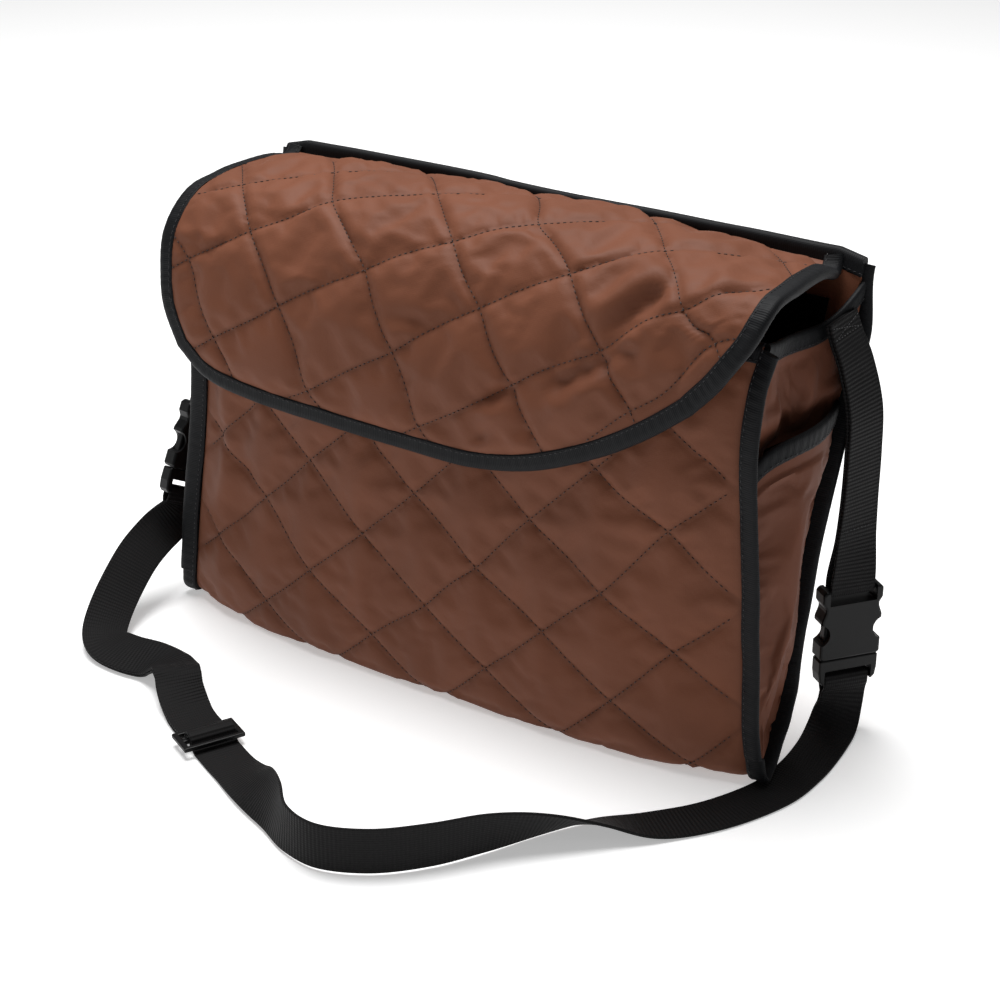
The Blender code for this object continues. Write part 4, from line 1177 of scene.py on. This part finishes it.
def length(name, description, default):
    return bpy.props.FloatProperty(
        name=name, description=description, default=default, subtype="DISTANCE", unit="LENGTH"
    )


def colour(name, description, hex_code):
    return bpy.props.FloatVectorProperty(
        name=name,
        description=description,
        default=linear(hex_code),
        size=4,
        min=0,
        max=1,
        subtype="COLOR",
    )


class MuffSizes(bpy.types.PropertyGroup):
    swell: length("Quilt swell", "How far the wadding lifts the middle of a diamond", 1.6 * MM)
    groove: length("Quilting groove", "How deep the quilting thread pulls the cloth in", 0.9 * MM)
    pitch: length("Stitch pitch", "Distance from one stitch to the next", 3.2 * MM)
    slack: bpy.props.FloatProperty(
        name="Cloth slack",
        description="How much more cloth there is than the seams span",
        default=0.03,
        subtype="FACTOR",
    )
    pressure: bpy.props.FloatProperty(
        name="Wadding pressure", description="How hard the wadding pushes the cloth out", default=4.0
    )


class MuffColours(bpy.types.PropertyGroup):
    shell: colour("Quilted cloth", "Colour of the quilted microfibre", SHELL_BROWN)
    sides: colour("Side cloth", "Colour of the plain microfibre at the sides", SIDE_BROWN)
    tape: colour("Binding tape", "Colour of the bias binding", TAPE_BLACK)
    webbing: colour("Webbing", "Colour of the strap and the tabs", WEBBING_BLACK)
    lining: colour("Lining", "Colour of the nylon lining", LINING_BLACK)
    fleece: colour("Hand sleeve", "Colour of the fleece sleeve", FLEECE_BLACK)
    plastic: colour("Buckles", "Colour of the buckles and the slider", PLASTIC_BLACK)
    quilting: colour("Quilting thread", "Colour of the thread that quilts the cloth", THREAD_BROWN)
    seams: colour("Seam thread", "Colour of the thread in tapes and webbing", THREAD_BLACK)


def turn(name, description, degrees):
    return bpy.props.FloatProperty(
        name=name, description=description, default=math.radians(degrees), subtype="ANGLE"
    )


class MuffStage(bpy.types.PropertyGroup):
    azimuth: turn("Azimuth", "Camera turn to the bag's right", 34)
    elevation: turn("Elevation", "Camera height over the bag", 25.3)
    distance: length("Distance", "From the camera to the bag's middle", 1.2)
    lens: bpy.props.FloatProperty(name="Lens", description="Focal length in millimetres", default=79.2)


# Operators


class Finishes(bpy.types.Operator):
    """The materials of the cloths, tapes, threads and plastic parts"""

    bl_idname = "muff.finishes"
    bl_label = "Materials"

    def execute(self, context):
        colours = context.scene.muff_colours
        FINISHES.update(
            quilted_cloth=brushed_cloth("peached_microfibre", colours.shell),
            side_cloth=brushed_cloth("plain_microfibre", colours.sides),
            binding_tape=ribbed("bias_binding", colours.tape, 1.1 * MM, 0.1 * MM, 0.6, 0.03),
            webbing=ribbed("polypropylene_webbing", colours.webbing, 2.1 * MM, 0.3 * MM, 0.7, 0.02),
            lining_cloth=ribbed("nylon_lining", colours.lining, 1.2 * MM, 0.05 * MM, 0.5, 0.02),
            fleece=napped("knitted_fleece", colours.fleece, 2.5 * MM, 1.2 * MM),
            buckle_plastic=moulded_acetal("moulded_acetal", colours.plastic),
            brown_thread=spun_thread("brown_thread", colours.quilting),
            black_thread=spun_thread("black_thread", colours.seams),
            floor=matt_floor("studio_paper", linear(FLOOR_WHITE)),
        )
        return {"FINISHED"}


class Stage(bpy.types.Operator):
    """Camera, studio light and floor"""

    bl_idname = "muff.stage"
    bl_label = "Stage"

    def execute(self, context):
        stage = context.scene.muff_stage
        scene = context.scene
        back = Vector(
            (
                math.sin(stage.azimuth) * math.cos(stage.elevation),
                -math.cos(stage.azimuth) * math.cos(stage.elevation),
                math.sin(stage.elevation),
            )
        )
        camera = bpy.data.objects.new("camera", bpy.data.cameras.new("camera"))
        camera.data.lens = stage.lens
        camera.data.sensor_width = 36
        camera.location = LOOKED_AT + back * stage.distance
        camera.rotation_euler = (math.pi / 2 - stage.elevation, 0, stage.azimuth)
        scene.collection.objects.link(camera)
        scene.camera = camera
        for name, place, size, power in LAMPS:
            lamp = bpy.data.lights.new(name, "AREA")
            lamp.shape = "DISK"
            lamp.size = size
            lamp.energy = power
            obj = bpy.data.objects.new(name, lamp)
            obj.location = place
            obj.rotation_euler = (Vector(place) - LIT).to_track_quat("Z", "Y").to_euler()
            scene.collection.objects.link(obj)
        world = bpy.data.worlds.new("studio")
        world.use_nodes = True
        light = world.node_tree.nodes["Background"]
        light.inputs["Color"].default_value = (1, 1, 1, 1)
        light.inputs["Strength"].default_value = SKY
        scene.world = world
        scene.view_settings.view_transform = "Standard"
        mesh = bpy.data.meshes.new("floor")
        corners = [(x * FLOOR_REACH, y * FLOOR_REACH, 0) for x, y in ((-1, -1), (1, -1), (1, 1), (-1, 1))]
        mesh.from_pydata(corners, [], [(0, 1, 2, 3)])
        floor = link("floor", mesh, "floor", 0)
        floor.location.z = -FLOOR_DROP
        return {"FINISHED"}


class StrapWebbing(bpy.types.Operator):
    """The carrying strap, its doubled stretch and its two sewn ends"""

    bl_idname = "muff.strap"
    bl_label = "Strap"

    def execute(self, context):
        last = len(STRAP_ROUTE) - 1
        half = LAYER_STEP / 2
        bar_height = BAR_HEIGHT / 2 - PLUG_BASE

        def right_layer(t):
            return -half * (1 - ease((t - 1) / 2)) - (LOOP_REACH - half) * (1 - ease(t / 0.9))

        def right_end_layer(t):
            return right_layer(t) + LAYER_STEP + 0.1 * MM + 2 * (LOOP_REACH - half) * (1 - ease(t / 0.9))

        def left_layer(t):
            turned = (LOOP_REACH - half) * ease((t - last + 0.9) / 0.9)
            return half * ease((t - last + 2.5) / 1.5) + turned

        def return_layer(t):
            return left_layer(t) - LAYER_STEP - 2 * (LOOP_REACH - half) * ease((t - last + 0.9) / 0.9)

        begin, width, _ = webbing_frame(STRAP_ROUTE, SLIDER_AT)
        finish = webbing_frame(STRAP_ROUTE, SLIDER_AT + 1)[0]
        middle = (begin + finish) / 2
        along = Vector((finish.x - begin.x, finish.y - begin.y, 0)).normalized()
        level = Vector((-along.y, along.x, 0))
        width = level * (1 if level.dot(width) > 0 else -1)
        middle.z = 0

        def at_slider(profile):
            return [(middle + along * a * MM + Vector((0, 0, b * MM)), width) for a, b in profile]

        rows = loop_rows(RIGHT_FRAME, bar_height, 1, 1)
        rows += route_rows(STRAP_ROUTE, 0.12, SLIDER_AT, 190, right_layer)
        rows += at_slider(OVER_SLIDER)
        rows += route_rows(STRAP_ROUTE, DOUBLED_FROM, last - 0.12, 150, left_layer)
        rows += loop_rows(LEFT_FRAME, bar_height, 1, -1)
        strap, path, _, _ = webbing("webbing_strap", rows)
        end = [(LEFT_FRAME @ Vector((0, LOOP_REACH, bar_height - 0.6 * MM)), LEFT_FRAME.col[0].xyz)]
        rows = route_rows(STRAP_ROUTE, DOUBLED_FROM, last - 0.12, 150, return_layer) + end
        doubled, doubled_path, _, _ = webbing("webbing_return", at_slider(ROUND_BAR)[::-1] + rows)
        start = [(RIGHT_FRAME @ Vector((0, LOOP_REACH, bar_height - 0.6 * MM)), RIGHT_FRAME.col[0].xyz)]
        rows = start + route_rows(STRAP_ROUTE, 0.12, RIGHT_END_TO, 40, right_end_layer)
        sewn, end_path, end_widths, end_faces = webbing("webbing_right_end", rows)
        pieces = ((strap, "strap"), (doubled, "strap_return"), (sewn, "strap_right_end"))
        for piece, node in pieces:
            on_bag(piece, node)
        runs = []
        for share in (0.62, 0.82):
            i = int(len(end_path) * share)
            run = []
            for k in np.linspace(-0.42, 0.42, 24):
                outwards = end_faces[i]
                run.append((end_path[i] + end_widths[i] * k * WEBBING + outwards * 0.85 * MM, outwards))
            runs.append(run)
        bars = sew("strap_end_stitches", runs, *BAR_STITCHES, "black_thread")
        on_bag(bars)
        return {"FINISHED"}


class Tabs(bpy.types.Operator):
    """The two webbing tabs, sewn to the side cloth and turned round the sockets' bars"""

    bl_idname = "muff.tabs"
    bl_label = "Tabs"

    def execute(self, context):
        self.make_tab("right", RIGHT_TAB_ROUTE, RIGHT_FRAME)
        self.make_tab("left", LEFT_TAB_ROUTE, LEFT_FRAME)
        return {"FINISHED"}

    def make_tab(self, side, route, matrix):
        last = len(route) - 1

        def spread(t):
            return LAYER_STEP / 2 + (LOOP_REACH - LAYER_STEP / 2) * ease((t - last + 1.2) / 1.2)

        bar_height = SOCKET_LENGTH - BAR_HEIGHT / 2
        down = route_rows(route, 0, last, 70, lambda t: -spread(t))
        up = route_rows(route, 0, last, 70, spread)
        start = down[-1][0] - matrix @ Vector((0, 0, bar_height))
        first_side = 1 if start.dot(matrix.col[1].xyz) > 0 else -1
        loop = loop_rows(matrix, bar_height, -1, first_side)
        tab = webbing(f"{side}_webbing_tab", down + loop + up[::-1])[0]
        sign = 1 if side == "right" else -1
        runs = []
        for stations in ((5.62, 5.62), (0.25, 0.9), (0.9, 0.25), (0.9, 0.9)):
            run = []
            for k in np.linspace(0, 1, 30):
                t = stations[0] + (stations[1] - stations[0]) * k
                middle, width, face = webbing_frame(route, t)
                outwards = face * (1 if face.x * sign > 0 else -1)
                off = spread(t) + WEBBING_THICK / 2 + 0.1 * MM
                run.append((middle + width * (k - 0.5) * 0.86 * WEBBING + outwards * off, outwards))
            runs.append(run)
        bars = sew(f"{side}_tab_stitches", runs, *BAR_STITCHES, "black_thread")
        for piece in (tab, bars):
            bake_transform(piece)
        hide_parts(f"{side}_tab")


class QuiltedBody(bpy.types.Operator):
    """The quilted body cloth, from the front top under the bag to the back top"""

    bl_idname = "muff.body"
    bl_label = "Quilted body"

    def execute(self, context):
        sizes = context.scene.muff_sizes
        quilt = BodyQuilt()
        body = quilt.build("quilted_body", sizes.swell * 0.7, sizes.slack * 0.5, 5 * MM, sizes)
        on_bag(body, "body_panel")
        thread = sew("body_quilting", quilt.lines(), sizes.pitch, *QUILTING_STITCH, "brown_thread")
        on_bag(thread)
        return {"FINISHED"}


def bend_over_fold(piece):
    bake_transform(piece)


class Flap(bpy.types.Operator):
    """The quilted flap and the binding tape round it, in one piece over the fold"""

    bl_idname = "muff.flap"
    bl_label = "Flap"

    def execute(self, context):
        sizes = context.scene.muff_sizes
        quilt = FlapQuilt()
        cloth = quilt.build("quilted_flap", sizes.swell, sizes.slack * 0.8, 6 * MM, sizes)
        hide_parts("flap_top", "flap_front")
        thread = sew("flap_quilting", quilt.lines(), sizes.pitch, *QUILTING_STITCH, "brown_thread")
        rim, inwards, facing = self.rim()
        half = 2.9 * MM
        middle = rim - facing * 2.1 * MM
        edge = tape("flap_edge_binding", middle, inwards, facing, TAPE_WIDTH * 0.95, half, 21)
        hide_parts("flap_left_binding", "flap_right_binding", "flap_front_binding")
        runs = tape_stitches(middle, inwards, facing, TAPE_WIDTH * 0.95, half)
        seam = sew("flap_edge_stitches", runs, sizes.pitch, *SEAM_STITCH, "black_thread")
        for piece in (cloth, thread, edge, seam):
            bend_over_fold(piece)
        return {"FINISHED"}

    def rim(self):
        rim, inwards, facing = [], [], []
        for t in np.linspace(0, 1, 420):
            flat = flap_rim(t, 0)
            inner = flap_rim(t, 6 * MM)
            point = on_flap(flat.x, flat.y)
            wave = 1.6 * MM * wander(t * 0.85, 0, 31, 45 * MM) * math.sin(math.pi * t)
            out = face_of(on_flap, flat.x, flat.y)
            way = on_flap(inner.x, inner.y) - point
            way = (way - out * way.dot(out)).normalized()
            rim.append(point + out * wave * 0.4)
            inwards.append(way)
            facing.append(out)
        return np.array(rim), unit(inwards), unit(facing)


class Bindings(bpy.types.Operator):
    """The binding tapes on the body's top edges, side cloths and side seams"""

    bl_idname = "muff.bindings"
    bl_label = "Bindings"

    def execute(self, context):
        self.pitch = context.scene.muff_sizes.pitch
        self.top_edges()
        for side in (-1, 1):
            name = "right" if side > 0 else "left"
            self.side_edge(side, f"{name}_gusset_binding", gusset_top, gusset_dip, 2, 41 + side)
            self.side_edge(side, f"{name}_hand_binding", mouth_height, pocket_bulge, 0.8, 51 + side)
            self.seam(side, f"{name}_seam_binding", 61 + side)
        return {"FINISHED"}

    def finish(self, node, rim, inwards, facing, half, seed):
        piece = tape("bound_" + node, rim, inwards, facing, TAPE_WIDTH, half, seed)
        runs = tape_stitches(rim, inwards, facing, TAPE_WIDTH, half)
        thread = sew("sewn_" + node, runs, self.pitch, *SEAM_STITCH, "black_thread")
        on_bag(piece, node)
        on_bag(thread)

    def top_edges(self):
        for node, at, way, seed in (
            ("front_top_binding", 0.0, 1, 33),
            ("back_top_binding", BODY_LENGTH, -1, 37),
        ):
            rim, inwards, facing = [], [], []
            for x in np.linspace(-BODY_HALF, BODY_HALF, 190):
                point = on_body(x, at)
                below = on_body(x, at + way * TAPE_WIDTH)
                out = face_of(on_body, x, at + way * 3 * MM)
                rise = 3.5 * MM * min(1, (BODY_HALF - abs(x)) / (14 * MM)) if way < 0 else 0
                wave = (2.4 if way < 0 else 0.8) * MM * wander(x, 0, seed, 55 * MM)
                rim.append(point + out * (0.4 * abs(wave) - 1.5 * MM) + Vector((0, 0, rise + 0.5 * wave)))
                inwards.append((below - point).normalized())
                facing.append(out)
            self.finish(node, rim, inwards, facing, 3.0 * MM, seed)

    def side_edge(self, side, node, height_at, bulge_at, power, seed):
        rim, inwards, facing = [], [], []
        for u in np.linspace(0.0, 1.0, 80):
            height = height_at(u)
            point = side_cloth(side, height, u, bulge_at(height), power)
            below = side_cloth(side, height - TAPE_WIDTH, u, bulge_at(height - TAPE_WIDTH), power)
            step = side_cloth(side, height, u + 0.01, bulge_at(height), power) - side_cloth(
                side, height, u - 0.01, bulge_at(height), power
            )
            down = (below - point).normalized()
            out = step.cross(down) * -side
            out = out.normalized()
            if out.x * side < 0:
                out = -out
            rim.append(point - out * GUSSET_CLOTH / 2)
            inwards.append(down)
            facing.append(out)
        self.finish(node, rim, inwards, facing, 1.9 * MM, seed)

    def seam(self, side, node, seed):
        rim, inwards, facing = [], [], []
        stations = np.linspace(0.008, 0.996, 330)
        for v in stations:
            seam = body_point(side, v)
            lean = -0.25 if v < FRONT_CORNER - 0.03 else 0.1 * min(max(v - BACK_CORNER, 0) * 6, 1)
            out = Vector((side, lean, 0)).normalized()
            along = (body_point(side, v + 0.004) - body_point(side, v - 0.004)).normalized()
            out = (out - along * out.dot(along)).normalized()
            length = TAPE_WIDTH + GAP + 0.7 * MM * wander(v * 0.6, 0, seed, 30 * MM)
            length -= 5.5 * MM * ease((v - 0.955) / 0.04)
            facing_now = out.cross(along).normalized() * side
            rim.append(seam + out * length + facing_now * 1.3 * MM * wander(v * 0.6, 1, seed, 34 * MM))
            inwards.append(-out)
            facing.append(facing_now)
        self.finish(node, rim, inwards, facing, 1.75 * MM, seed)


def gusset_dip(height):
    """The gathered gusset sinks in between its seams."""
    return -7 * MM


def mouth_height(across):
    """The hand opening's edge dips to its front end."""
    return MOUTH_HEIGHT - 4 * MM + 13 * MM * (1 - math.exp(-max(across, 0) / 0.1))


def pocket_bulge(height):
    return 10 * MM * math.sin(math.pi / 2 * min(max(height, 0) / 0.11, 1)) ** 0.8


class SideCloths(bpy.types.Operator):
    """The plain side cloths: the gathered gussets above and the hand panels below"""

    bl_idname = "muff.sides"
    bl_label = "Side cloths"

    def execute(self, context):
        for side in (-1, 1):
            name = "right" if side > 0 else "left"
            self.cloth(side, f"{name}_gusset", gusset_top, MOUTH_HEIGHT - 4 * MM, self.gusset, 12, 34)
            self.cloth(side, f"{name}_hand_panel", mouth_height, PANEL_FOOT, self.panel, 44, 26)
        return {"FINISHED"}

    def gusset(self, side, u, height, down):
        gathers = 1.3 * math.sin(2 * math.pi * (3.2 * u + 0.25 * down + 0.15 * side))
        gathers = gathers + 0.7 * math.sin(2 * math.pi * (5.3 * u - 0.4 * down))
        middle = math.sin(math.pi * u)
        reach = middle**0.6 * ease((down - 0.17) / 0.25) * (1 - 0.6 * ease((down - 0.6) / 0.4))
        belly = 5 * MM * middle * ease((down - 0.17) / 0.5) * (1 - 1.6 * ease((down - 0.55) / 0.45))
        point = side_cloth(side, height, u, gusset_dip(height), 2)
        return point + Vector((side * (gathers * MM * reach + belly), 0, 0))

    def panel(self, side, u, height, down):
        full = 5 * MM if side > 0 else 2 * MM
        belly = full * math.sin(math.pi * min(max(down, 0), 1)) * math.sin(math.pi * u)
        folds = 0.9 * math.sin(2 * math.pi * (1.6 * u + 0.5 * down)) * math.sin(math.pi * down) ** 0.5
        folds *= MM * math.sin(math.pi * u) * ease((down - 0.06) / 0.12)
        point = side_cloth(side, height, u, pocket_bulge(height), 0.8)
        return point + Vector((side * (belly + folds), 0, 0))

    def cloth(self, side, node, top_at, foot, place, rows, columns):
        points = []
        for j in range(rows * 2 + 1):
            down = j / rows / 2
            for i in range(columns * 2 + 1):
                u = i / columns / 2
                height = top_at(u) - 2 * MM - down * (top_at(u) - 2 * MM - foot)
                points.append(place(side, u, height, down))
        points = np.array([tuple(point) for point in points]).reshape(rows * 2 + 1, columns * 2 + 1, 3)
        across = np.linalg.norm(np.diff(points, axis=1), axis=2).cumsum(axis=1)
        along = np.linalg.norm(np.diff(points, axis=0), axis=2).cumsum(axis=0)
        plane = np.zeros(points.shape[:2] + (2,))
        plane[:, 1:, 0] = across
        plane[1:, :, 1] = along
        faces = grid_faces(rows * 2, columns * 2)
        if side < 0:
            faces = faces[:, ::-1]
        along_height = float(along[-1].mean())
        held = np.zeros(points.shape[:2], bool)
        held[[0, -1]] = True
        held[:, [0, -1]] = True
        held[: int(np.ceil(rows * 2 * 12 * MM / along_height)) + 1] = True
        flat = points.reshape(-1, 3)
        flat = flat + settle(flat, faces, held.reshape(-1), 1.0, 0.03, 5 * MM, 1.0)
        grid = flat.reshape(points.shape)
        normals = np.cross(np.gradient(grid, axis=0), np.gradient(grid, axis=1))
        normals = unit(normals).reshape(-1, 3) * side
        if (normals[:, 0] * side).mean() < 0:
            normals = -normals
        thick = 1.4 * MM
        inner = flat - normals * thick
        piece = shell("plain_" + node, flat, inner, faces, plane.reshape(-1, 2), "side_cloth")
        on_bag(piece, node)


class Inside(bpy.types.Operator):
    """The lining and the fleece sleeve between the two hand openings"""

    bl_idname = "muff.inside"
    bl_label = "Lining and sleeve"

    def execute(self, context):
        self.lining()
        self.sleeve()
        return {"FINISHED"}

    def lining(self):
        low = BODY_ALONG[int(420 * (FRONT_CORNER - 1.2 / LAST_STATION))]
        high = BODY_ALONG[int(420 * (BACK_CORNER + 1.4 / LAST_STATION))]
        depth = CLOTH + 1.6 * MM
        first, final = 0.03, BODY_LENGTH - 0.022

        def inset(x, s):
            return on_body(x, s) - face_of(on_body, x, s) * depth

        rows, columns = 110, 60
        points = []
        for j in range(rows + 1):
            s = first + (final - first) * j / rows
            for i in range(columns + 1):
                x = (2 * i / columns - 1) * BODY_HALF * 0.93
                if low < s < high:
                    point = inset(x, low).lerp(inset(x, high), (s - low) / (high - low))
                else:
                    point = inset(x, s)
                points.append(point + Vector((0, 0.3 * MM * wander(x, s, 71, 16 * MM), 0)))
        points = np.array([tuple(point) for point in points])
        faces = grid_faces(rows, columns)
        count = columns + 1
        grid = points.reshape(rows + 1, count, 3)
        normals = unit(np.cross(np.gradient(grid, axis=0), np.gradient(grid, axis=1))).reshape(-1, 3)
        plane = np.meshgrid(np.linspace(0, LINING_WIDTH, count), np.linspace(0, final - first, rows + 1))
        plane = np.stack(plane, -1).reshape(-1, 2)
        piece = shell("nylon_inner", points, points - normals * 0.8 * MM, faces, plane, "lining_cloth")
        on_bag(piece, "body_lining")

    def sleeve(self):
        half_length = 0.160
        rows, around = 90, 96
        outer, inner, plane = [], [], []
        for i in range(rows + 1):
            u = i / rows
            for k in range(around + 1):
                angle = 2 * math.pi * k / around
                swell = 1 + 0.06 * math.cos(math.pi * (2 * u - 1))
                seed = 81 + math.cos(angle) * 0.4
                pile = 0.5 * MM * wander(u * 0.32, math.sin(angle) * 0.05, seed, 9 * MM)
                bend_y = math.copysign(abs(math.sin(angle)) ** 0.75, math.sin(angle))
                bend_z = math.copysign(abs(math.cos(angle)) ** 0.75, math.cos(angle))
                x = half_length * (2 * u - 1)
                for layer, shrink in ((outer, 0.0), (inner, 3 * MM)):
                    y = -0.0180 + (0.0165 * swell - shrink + pile) * bend_y
                    z = 0.1245 + (0.0370 - shrink + pile) * bend_z
                    layer.append((x, y, z))
                plane.append((x, 0.11 * k / around))
        count = around + 1
        outer, inner = (np.array(v).reshape(rows + 1, count, 3) for v in (outer, inner))
        outer[:, -1] = outer[:, 0]
        inner[:, -1] = inner[:, 0]
        faces = ring_faces(rows, around)
        outer = outer[:, :-1].reshape(-1, 3)
        inner = inner[:, :-1].reshape(-1, 3)
        plane = np.array(plane).reshape(rows + 1, count, 2)[:, :-1].reshape(-1, 2)
        piece = shell("fleece_sleeve", outer, inner, faces, plane, "fleece")
        turn_outwards(piece.data)
        on_bag(piece, "hand_sleeve")


class Hardware(bpy.types.Operator):
    """Finishes the buckles and the slider"""

    bl_idname = "muff.hardware"
    bl_label = "Buckles and slider"

    def execute(self, context):
        for name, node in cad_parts.items():
            if "socket" in name or "plug" in name or "arm" in name or name == "slider":
                node.data.materials.clear()
                node.data.materials.append(FINISHES["buckle_plastic"])
        return {"FINISHED"}


class MuffPanel(bpy.types.Panel):
    bl_idname = "MUFF_PT_pieces"
    bl_label = "Hand warmer muff"
    bl_space_type = "VIEW_3D"
    bl_region_type = "UI"
    bl_category = "Muff"

    def draw(self, context):
        for operator in OPERATORS:
            self.layout.operator(operator.bl_idname)
        for name in GROUPS:
            group = getattr(context.scene, name)
            for field in group.bl_rna.properties.keys():
                if field not in ("rna_type", "name"):
                    self.layout.prop(group, field)


PIECES = (StrapWebbing, Tabs, QuiltedBody, Flap, Bindings, SideCloths, Inside, Hardware)
OPERATORS = (Finishes, Stage, *PIECES)
CLASSES = (MuffSizes, MuffColours, MuffStage, *OPERATORS, MuffPanel)


GROUPS = {"muff_sizes": MuffSizes, "muff_colours": MuffColours, "muff_stage": MuffStage}


def register():
    for cls in CLASSES:
        bpy.utils.register_class(cls)
    for name, group in GROUPS.items():
        setattr(bpy.types.Scene, name, bpy.props.PointerProperty(type=group))


def unregister():
    for name in GROUPS:
        delattr(bpy.types.Scene, name)
    for cls in reversed(CLASSES):
        bpy.utils.unregister_class(cls)


def main():
    register()
    for operator in OPERATORS:
        getattr(bpy.ops.muff, operator.bl_idname.split(".")[1])()


if __name__ == "__main__":
    main()
